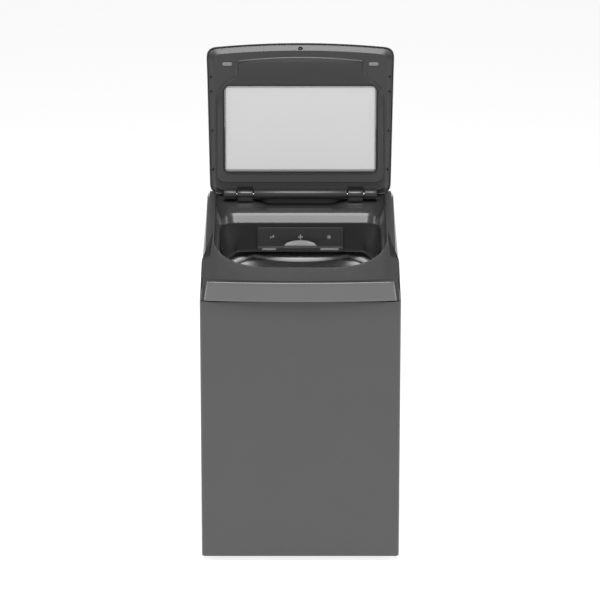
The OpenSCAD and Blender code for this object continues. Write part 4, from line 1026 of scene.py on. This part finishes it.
fitted(wash_plate, moulded("wash_plate_plastic", (0.3, 0.3, 0.305), 0.36, bump=0.04,
                           tint=0.05),
       "washplate", "ring_plastic", "impeller")

# ---- Control pod ----
# A low moulded hood behind the hinge. Its leaning face holds a gloss black panel with a display
# window, a programme knob and two buttons.

pod_half, _, pod_top = list(node_box("console_housing"))[1]
lean = math.radians(19)
face_y, face_z = ridge_y + 22, ridge_z - 20 * math.tan(math.radians(22)) + 4
face_l = (pod_top - 4 - face_z) / math.cos(lean)
tail_y = 299.0


def falling(y):
    """The rear part of the deck, falling from the ridge."""
    return ridge_z - (y - ridge_y) * math.tan(math.radians(22))


def pod_profile(inset):
    """The pod's outline in y and z, moved inwards, as (y, z, rounding) corners."""
    top_y = face_y + face_l * math.sin(lean)
    return rounded([(ridge_y + 20 + inset, falling(ridge_y + 20) - 1.5, 0.8),
                    (face_y + inset, face_z, 3.0),
                    (top_y + inset + 1.0, pod_top - inset, 5.0),
                    (tail_y - inset, pod_top - inset, 9.0),
                    (tail_y - inset, falling(tail_y) - 1.5, 0.8)], arc=7, edge=6)


pod_rows = []
turns = np.linspace(0, math.pi / 2, 7)
side_levels = [(9 * (1 - math.sin(a)), -pod_half + 9 * (1 - math.cos(a))) for a in turns]
side_levels += [(0.0, x) for x in (-200, -100, 0, 100, 200)]
side_levels += [(9 * (1 - math.cos(a)), pod_half - 9 * (1 - math.sin(a))) for a in turns]
for inset, x in side_levels:
    yz = pod_profile(inset)
    pod_rows.append(xyz(x, yz[:, 0], yz[:, 1]) * MM)
pod = add_piece("pod_hood", [capped(pod_rows[::-1])], angle=40)
fitted(pod, deck_plastic, "cabinet", "deck_plastic", "console_housing")


def on_face(points):
    """Points (across, up the face, out of the face) in mm placed on the pod's leaning face."""
    points = np.asarray(points, dtype=float)
    x, s, out = points[..., 0], points[..., 1], points[..., 2]
    return xyz(x, face_y + s * math.sin(lean) - out * math.cos(lean),
               face_z + s * math.cos(lean) + out * math.sin(lean)) * MM


def face_pad(x0, x1, s0, s1, low, high, corner, edge):
    """A rounded block on the pod's face."""
    return pad(x0, x1, s0, s1, low, high, corner, edge, on_face)


def face_turned(profile, x, s, count=64, teeth=0, depth=0.0):
    """A turned piece standing on the pod's face, with optional grip flutes where radius is largest."""
    a = np.linspace(0, 2 * np.pi, count, endpoint=False)
    rows = []
    for r, out, flute in profile:
        radius = r - flute * depth * (0.5 + 0.5 * np.cos(teeth * a))
        rows.append(on_face(xyz(x + radius * np.cos(a), s + radius * np.sin(a), out)))
    return capped(rows)


mid_s = face_l / 2
panel_half = pod_half - 22
panel_h = face_l - 10
panel = add_piece("control_panel", [face_pad(-panel_half, panel_half, mid_s - panel_h / 2, mid_s + panel_h / 2,
                                             -1.6, 0.35, 6, 0.5)])
fitted(panel, moulded("panel_gloss", (0.008, 0.008, 0.009), 0.12, spread=0.04, grain=300.0, bump=0.0, coat=0.8,
                      coat_rough=0.06, tint=0.1),
       "cabinet", "panel_gloss", "console_panel")

# ---- Panel print ----
# Plain marks printed on the panel: a ring of programme ticks round the knob, symbol rings at the
# buttons and a row of small status lamps. There is no lettering.

print_parts, lamp_parts = [], []
for k in range(14):
    a = math.radians(-130 + 260 * k / 13) + math.pi / 2
    cx_, cs_ = 150 + 23.5 * math.cos(a), mid_s + 20.6 * math.sin(a)
    if abs(cs_ - mid_s) < panel_h / 2 - 1.5:
        print_parts.append(face_pad(cx_ - 0.5, cx_ + 0.5, cs_ - 0.5, cs_ + 0.5, 0.3, 0.42, 0.45, 0.05))
    print_parts.append(face_pad(176, 183, mid_s - 15 + k * 2.3, mid_s - 14.2 + k * 2.3, 0.3, 0.42, 0.3, 0.05))
for x0 in (-180, 215):
    for dx, width in ((-6.0, 5.0), (1.2, 5.0)):
        print_parts.append(face_pad(x0 + dx, x0 + dx + width, mid_s - 13.5, mid_s - 12.4, 0.3, 0.42, 0.4, 0.05))
for k in range(6):
    lamp_parts.append(face_pad(-130 + k * 9, -127.6 + k * 9, mid_s + 6, mid_s + 8.4, 0.3, 0.6, 1.0, 0.15))
    print_parts.append(face_pad(-131 + k * 9, -126.6 + k * 9, mid_s + 1.6, mid_s + 2.4, 0.3, 0.42, 0.3, 0.05))
marks = add_piece("panel_print", print_parts)
fitted(marks, moulded("print_white", (0.55, 0.55, 0.56), 0.5, spread=0.05, grain=600.0, bump=0.0, tint=0.03),
       "cabinet", "panel_gloss")
lamps = add_piece("status_lamps", lamp_parts)
fitted(lamps, moulded("lamp_lens", (0.25, 0.3, 0.3), 0.25, spread=0.05, grain=400.0, bump=0.0, coat=0.5, tint=0.05),
       "cabinet", "panel_gloss")

# ---- Display window ----
# A smoked acrylic window, flush with the panel, with unlit segment shapes faintly visible in it. It
# is bonded in from behind.

window = add_piece("display_lens", [face_pad(-75, 35, mid_s - 13, mid_s + 13, -1.4, 0.3, 2.5, 0.35)])
lens_mat, lens_shader, lens_where = new_material("display_lens")
lens_cell = lens_where.node("ShaderNodeTexBrick", {"offset": 0.0}, {"Vector": lens_where,
                            "Color1": (0.016, 0.018, 0.02, 1),
                            "Color2": (0.02, 0.022, 0.024, 1), "Mortar": (0.008, 0.009, 0.01, 1), "Scale": 1.0,
                            "Mortar Size": 0.0012, "Brick Width": 0.012, "Row Height": 0.009})
feed(lens_shader, "Base Color", lens_cell)
lens_haze = lens_where.node("ShaderNodeTexNoise", None, {"Vector": lens_where, "Scale": 20.0})
feed(lens_shader, "Roughness", lens_haze * 0.04 + 0.06)
fitted(window, lens_mat, "cabinet", "window_gloss", "display_window")

# ---- Programme knob ----
# A moulded satin knob with a wide skirt and a fluted grip, pushed onto its shaft. A dark line on its
# cap shows the programme.

knob_profile = [(17.5, 0.6, 0), (18.7, 0.7, 0), (18.9, 1.4, 0), (18.9, 2.8, 0), (18.2, 3.6, 0), (16.2, 4.4, 0),
                (15.6, 5.2, 0.5), (15.3, 7, 1), (15.1, 12, 1), (14.7, 14.2, 0.6), (13.6, 15.3, 0), (12.4, 15.8, 0),
                (11.6, 15.5, 0), (6.0, 15.3, 0)]
knob = add_piece("knob_grip", [face_turned([(3.0, -12.0, 0), (3.0, 0.4, 0)] + knob_profile, 150, mid_s, 144, 36,
                                           0.9)],
                 angle=30)
fitted(knob, moulded("knob_satin", (0.42, 0.42, 0.43), 0.3, bump=0.03, metallic=0.7,
                     tint=0.04),
       "knob", "knob_metal", "programme_knob")
pointer = add_piece("knob_pointer", [face_pad(149.3, 150.7, mid_s + 4, mid_s + 12.6, 15.2, 15.9, 0.6, 0.2)])
fitted(pointer, moulded("pointer_ink", (0.02, 0.02, 0.02), 0.4, spread=0.05, grain=600.0, bump=0.0),
       "knob", "knob_metal")

# ---- Buttons ----
# Two round moulded keys with dished caps. One carries a printed power symbol, the other a start and
# pause symbol.

for label, node, body, x0 in (("power_cap", "power_button", "power_key", -180),
                              ("start_cap", "start_button", "start_key", 215)):
    profile = [(2.5, -11.0, 0), (2.5, -4.8, 0), (9.8, -4.8, 0), (9.8, -3.2, 0), (7.9, -3.0, 0), (7.95, 1.4, 0),
               (7.7, 2.2, 0), (7.0, 2.72, 0), (6.2, 2.68, 0), (3.0, 2.5, 0)]
    cap = add_piece(label, [face_turned(profile, x0, mid_s)], angle=40)
    fitted(cap, moulded(label + "_satin", (0.5, 0.5, 0.51), 0.35, spread=0.08, grain=900.0, bump=0.03, tint=0.04),
           body, "button_plastic", node)
    if x0 < 0:
        a = np.linspace(math.radians(120), math.radians(420), 40)
        rows = []
        for r, out in ((3.0, 2.45), (3.0, 2.79), (3.6, 2.79), (3.6, 2.45)):
            rows.append(on_face(xyz(x0 + r * np.cos(a), mid_s + r * np.sin(a), out)))
        sign_parts = [grid_mesh("arc", rows, close_loop=False)]
        sign_parts.append(face_pad(x0 - 0.35, x0 + 0.35, mid_s + 1.2, mid_s + 4.4, 2.45, 2.79, 0.3, 0.1))
    else:
        sign_parts = [face_pad(x0 + 0.9, x0 + 1.7, mid_s - 2, mid_s + 2, 2.45, 2.79, 0.3, 0.1),
                      face_pad(x0 + 2.6, x0 + 3.4, mid_s - 2, mid_s + 2, 2.45, 2.79, 0.3, 0.1)]
        tri = np.array([[-3.4, -2.1], [0.0, 0.0], [-3.4, 2.1]])
        rows = [on_face(np.column_stack([x0 + tri[:, 0], mid_s + tri[:, 1], np.full(3, out)])) for out in (2.45,
                                                                                                           2.79)]
        sign_parts.append(capped(rows))
    sign = add_piece(label + "_symbol", sign_parts, angle=40)
    fitted(sign, moulded(label + "_ink", (0.02, 0.02, 0.02), 0.4, spread=0.05, grain=600.0, bump=0.0),
           body, "button_plastic")

# ---- Rear panel ----
# A zinc-coated sheet closing the back, stiffened by pressed ribs and upright beads, with openings for
# the drain and the cord and a strip of vent slots.

rear_low, rear_high = node_box("rear_panel")
xs = np.linspace(rear_low[0], rear_high[0], 236)
zs = np.linspace(rear_low[2], rear_high[2], 320)
gx, gz = np.meshgrid(xs, zs)
press = np.zeros_like(gx)
for share in (0.3, 0.5, 0.7):
    centre_z = share * seam_z + 7
    end = np.clip((np.abs(gx) - 236) / 8, 0, None)
    press += 2.6 * np.exp(-(np.hypot(gz - centre_z, end * 8) / 9.0) ** 2)
for x_bead in (-262, 262):
    press += 1.2 * np.exp(-((gx - x_bead) / 3.0) ** 2) * (np.abs(gz - 420) < 350)
sheet_y = 299.0
surface = xyz(gx, sheet_y - press, gz) * MM
rear_points, rear_quads = grid_mesh("rear", surface, close_loop=False)
centre_q = rear_points[rear_quads].mean(1) / MM
keep = (np.hypot(centre_q[:, 0] - 140, centre_q[:, 2] - 202) > 14) & \
       (np.hypot(centre_q[:, 0] + 220, centre_q[:, 2] - 738) > 8.5)
slots = (np.abs(centre_q[:, 0] + 60) < 60) & (np.abs(centre_q[:, 2] - 640) < 16) & ((centre_q[:, 0] % 15) < 5.5)
rear = add_piece("rear_sheet", [(rear_points, rear_quads[keep & ~slots][:, ::-1])], angle=35)
rear_solid = rear.modifiers.new("thickness", "SOLIDIFY")
rear_solid.thickness = 0.001
rear_solid.offset = 0
zinc = moulded("zinc_sheet", (0.36, 0.365, 0.375), 0.36, spread=0.16, grain=38.0, metallic=0.9, tint=0.16)
fitted(rear, zinc, "cabinet", "zinc_sheet", "rear_panel")

# ---- Cabinet screws ----
# Eight zinc-plated hex-head self-tapping screws with washer faces. They hold the rear panel to the
# painted wrap.

screw_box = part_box("cabinet_screws")
screw_x = screw_box[1][0] / MM - 4
z_low, z_high = screw_box[0][2] / MM + 4, screw_box[1][2] / MM - 4
panel_screw_parts = []
for s in (-1, 1):
    for share in (0.0, 0.3375, 0.6625, 1.0):
        at = (s * screw_x, 300, z_low + (z_high - z_low) * share)
        panel_screw_parts.append(turned([(0, 0.2), (3.9, 0.2), (3.9, 0.7), (3.2, 0.9)], at, "y", 24))
        hexa = turned([(3.0, 0.8), (3.0, 1.9), (2.7, 2.15), (1.6, 2.1), (1.4, 1.5), (0, 1.5)], at, "y", 6)
        panel_screw_parts.append(hexa)
panel_screws = add_piece("rear_screws", panel_screw_parts, angle=25)
bright = moulded("bright_steel", (0.5, 0.5, 0.51), 0.3, spread=0.12, grain=400.0, bump=0.04, metallic=1.0,
                 tint=0.08)
fitted(panel_screws, bright, "cabinet", "steel", "cabinet_screws")

# ---- Water inlets and drain ----
# Two plastic valve unions with coarse threads and filter screens, a barbed drain spigot in a flange
# and a ribbed cord gland.

valve_low, valve_high = node_box("inlet_valves")
valve_z = (valve_low[2] + valve_high[2]) / 2
union_parts = []
for s in (-1, 1):
    x0 = s * 60
    union_parts.append(pad(x0 - 18, x0 + 18, -18 + valve_z, 18 + valve_z, -(288 - valve_low[1]), 0, 5, 2,
                           lambda row: xyz(row[:, 0], 288 + row[:, 2], row[:, 1]) * MM))
    profile = [(11, 287), (13.2, 288), (13.2, 296)]
    for k in range(9):
        base_y = 297 + k * 2.3
        profile += [(12.2, base_y), (13.15, base_y + 0.9), (13.15, base_y + 1.3), (12.2, base_y + 2.2)]
    profile += [(12.6, 319.2), (11.6, 319.9), (9.8, 319.8), (9.4, 318), (9.3, 302), (0, 301.5)]
    union_parts.append(turned(profile, (x0, 0, valve_z), "y", 64))
unions = add_piece("inlet_unions", union_parts, angle=35)
valve_white = moulded("valve_plastic", (0.62, 0.62, 0.6), 0.42, grain=700.0, bump=0.04, tint=0.05)
fitted(unions, valve_white, "cabinet", "white_plastic", "inlet_valves")

spigot = [(8.6, 274.5), (10.6, 274.2), (11, 275), (11, 299.6), (19.6, 299.8), (20, 300.6), (20, 302), (19, 303),
          (12.6, 303), (11, 304.2), (11, 307), (9.9, 308.5), (11, 311), (9.9, 312.5), (11, 315), (10, 316.5),
          (10.6, 318.4), (9.8, 319.7), (8.7, 319.6), (8.5, 318), (8.5, 276)]
drain = add_piece("drain_spigot", [turned(spigot, (140, 0, 202), "y", 64, closed=True)], angle=35)
grey_plastic = moulded("grey_plastic", (0.16, 0.16, 0.165), 0.45, spread=0.1, grain=800.0, tint=0.07)
fitted(drain, grey_plastic, "cabinet", "grey_plastic", "drain_outlet")

gland_profile = [(4.3, 286.3), (8.6, 286.1), (8.9, 287), (8.9, 293.6), (11.6, 293.9), (12, 294.6), (12, 298.2),
                 (11.4, 298.7), (11.4, 300), (12.7, 300.2), (13, 301), (12.8, 302.6), (11.6, 303), (9.2, 303),
                 (8.8, 303.6), (8.8, 304.3), (8.2, 304.6), (8.8, 305), (8.7, 305.7),
                 (7.6, 306), (4.6, 305.9), (4.3, 305)]
gland = add_piece("cord_bush", [turned(gland_profile, (-220, 0, 738), "y", 48, closed=True)], angle=30)
fitted(gland, rubber, "cabinet", "grey_plastic", "cord_gland")

# ---- Levelling feet ----
# Each foot is a ribbed rubber pad moulded onto a threaded steel stud. A hex nut under the base
# locks it.

foot_marks = (("foot_front_left", "foot_fl", -1, -1), ("foot_front_right", "foot_fr", 1, -1),
              ("foot_rear_left", "foot_rl", -1, 1), ("foot_rear_right", "foot_rr", 1, 1))
for node, body, sx, sy in foot_marks:
    low, high = node_box(node)
    at = ((low[0] + high[0]) / 2, (low[1] + high[1]) / 2, 0)
    pad_profile = [(0, 0), (17, 0), (17.6, 0.6), (18.4, 0.6), (19, 0), (20.6, 0), (21.6, 0.7), (22, 1.8), (22, 4.6),
                   (21.2, 5.6), (18.4, 6.9), (17, 8), (9, 8), (8.6, 7.4)]
    stud = [(4.2, 7.6), (4.6, 8)]
    for k in range(int((high[2] - 10) / 1.5)):
        stud += [(4.95, 8.6 + 1.5 * k), (4.35, 9.35 + 1.5 * k)]
    stud += [(4.2, high[2] - 0.6), (3.4, high[2]), (0, high[2])]
    foot = add_piece(body + "_pad", [turned(pad_profile + stud, at, "z", 48)], angle=30)
    set_material(foot, rubber)
    foot.data.materials.append(bright)
    centre_heights = np.array([polygon.center[2] for polygon in foot.data.polygons])
    foot.data.polygons.foreach_set("material_index", (centre_heights > 8.1 * MM).astype(np.int32))
    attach(foot, body)
    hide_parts(node)

# ---- Latch strike ----
# A small dark plastic socket that takes the lock's bolt. It is clipped into the lid's front edge,
# above the lock.

strike_u = 454.0
a = np.linspace(0, 2 * np.pi, 32, endpoint=False)
strike_rows = []
for r, w in ((2.2, 9.5), (2.3, 5.4), (2.8, 4.4), (4.4, 4.2), (4.9, 4.7), (4.9, 9.8), (3.0, 10.2)):
    strike_rows.append(on_lid(xyz(r * 1.5 * np.cos(a), strike_u + r * np.sin(a), w)))
strike = add_piece("strike_socket", [grid_mesh("strike", strike_rows, close_rings=True)], angle=35)
fitted(strike, dark_steel, "lid", "steel", "latch_strike")

# ---- Suspension ----
# Four steel rods hang from ball seats in the cabinet corners. Each carries the tub on a plastic
# cup and a coil spring.

rods_low, rods_high = node_box("suspension_rods")
spring_low, spring_high = node_box("suspension_springs")
rod_x = 225.0
rod_ys = (tub_y - 226.5, tub_y + 226.5)
rod_parts, spring_parts = [], []
for s in (-1, 1):
    for y0 in rod_ys:
        z0, z1 = rods_low[2], rods_high[2]
        profile = [(0, z0), (5.4, z0), (6.4, z0 + 1), (6.4, z0 + 4), (5, z0 + 5), (4, z0 + 6), (4, z0 + 30),
                   (3.8, z0 + 32), (4, z0 + 34), (4, z1 - 14), (6, z1 - 12), (7.4, z1 - 9), (8, z1 - 5),
                   (7.2, z1 - 1.6), (4, z1), (0, z1)]
        rod_parts.append(turned(profile, (s * rod_x, y0, 0), "z", 32))
        turns_n, wire, mean_r = 11, 2.1, spring_high[0] - rod_x - 2.2
        t = np.linspace(0, 1, 11 * 36)
        pitch = np.clip((t - 0.06) / 0.88, 0, 1)
        centre_z = spring_low[2] + wire + pitch * (spring_high[2] - spring_low[2] - 2 * wire)
        angle = t * turns_n * 2 * np.pi
        rim = np.linspace(0, 2 * np.pi, 12, endpoint=False)
        radius = mean_r + wire * np.cos(rim)[None, :]
        around = angle[:, None]
        coil = xyz(s * rod_x + radius * np.cos(around), y0 + radius * np.sin(around),
                   centre_z[:, None] + wire * np.sin(rim)) * MM
        spring_parts.append(capped(list(coil[::-1])))
rods = add_piece("hanger_rods", rod_parts, angle=30)
fitted(rods, bright, "cabinet", "steel", "suspension_rods")
springs = add_piece("coil_springs", spring_parts, angle=50)
fitted(springs, moulded("spring_steel", (0.2, 0.2, 0.21), 0.35, spread=0.12, grain=300.0, metallic=1.0,
                        tint=0.1),
       "tub", "steel", "suspension_springs")

# ---- Outer tub ----
# One deep polypropylene moulding with hoop ribs, upright ribs, a sloping drain sump in its floor
# and lugs for the four hangers.

tub_mat = moulded("tub_polypropylene", (0.45, 0.46, 0.46), 0.5, spread=0.1, grain=500.0, bump=0.08, tint=0.08)
set_material(frame["nodes"]["outer_tub"], tub_mat)

# ---- Pressed and cast parts ----
# The base, brackets and motor bracket are zinc-coated pressings, the hub and gearbox are cast
# aluminium, and the pulleys, shafts and pins are machined steel.

cast_alloy = moulded("cast_alloy", (0.42, 0.42, 0.43), 0.5, spread=0.2, grain=220.0, bump=0.25, metallic=0.9,
                     tint=0.15)
black_enamel = moulded("black_enamel", (0.02, 0.02, 0.021), 0.3, spread=0.1, grain=500.0, bump=0.06, coat=0.4,
                       tint=0.1)
ground_steel = moulded("ground_steel", (0.55, 0.55, 0.56), 0.22, bump=0.03, metallic=1.0, tint=0.05)
for name in ("base_frame", "corner_brackets", "motor_bracket"):
    set_material(frame["nodes"][name], zinc)
for name in ("basket_hub", "gearbox_housing"):
    set_material(frame["nodes"][name], cast_alloy)
for name in ("hinge_pins", "main_bearings", "drive_shaft", "motor_pulley", "foot_locknuts"):
    set_material(frame["nodes"][name], ground_steel)
for name in ("drive_pulley", "motor_rotor"):
    set_material(frame["nodes"][name], black_enamel)

# ---- Motor stator ----
# The stator is a riveted stack of thin steel laminations. Their edges show as fine level bands
# round it.

stator_mat, stator_shader, stator_where = new_material("stator_stack")
stator_z = stator_where.node("ShaderNodeSeparateXYZ", None, {0: stator_where}, out="Z")
sheets = (stator_z * 2400.0).math("SINE").math("GREATER_THAN", 0.0)
feed(stator_shader, "Base Color", mixed(stator_where, sheets, (0.2, 0.2, 0.21), (0.34, 0.34, 0.35)))
feed(stator_shader, "Roughness", sheets * 0.15 + 0.4)
stator_shader.inputs["Metallic"].default_value = 0.85
set_material(frame["nodes"]["motor_stator"], stator_mat)

# ---- Plastic and rubber parts ----
# Valves, housings, the pump, the pressure switch and the filters are moulded in plain plastics. The
# belt, seal and hose are rubber.

board_mat = moulded("board_laminate", (0.02, 0.09, 0.04), 0.35, spread=0.1, grain=700.0, bump=0.1, coat=0.4,
                    coat_rough=0.15, tint=0.3)
set_material(frame["nodes"]["control_board"], board_mat)
for name in ("dispenser_housing", "lid_lock", "pressure_switch", "drain_pump", "spring_cups", "clutch_actuator"):
    set_material(frame["nodes"][name], grey_plastic)
for name in ("drive_belt", "shaft_seal", "drain_hose"):
    set_material(frame["nodes"][name], rubber)
for name in ("lint_filters", "impeller_cap"):
    set_material(frame["nodes"][name], valve_white)
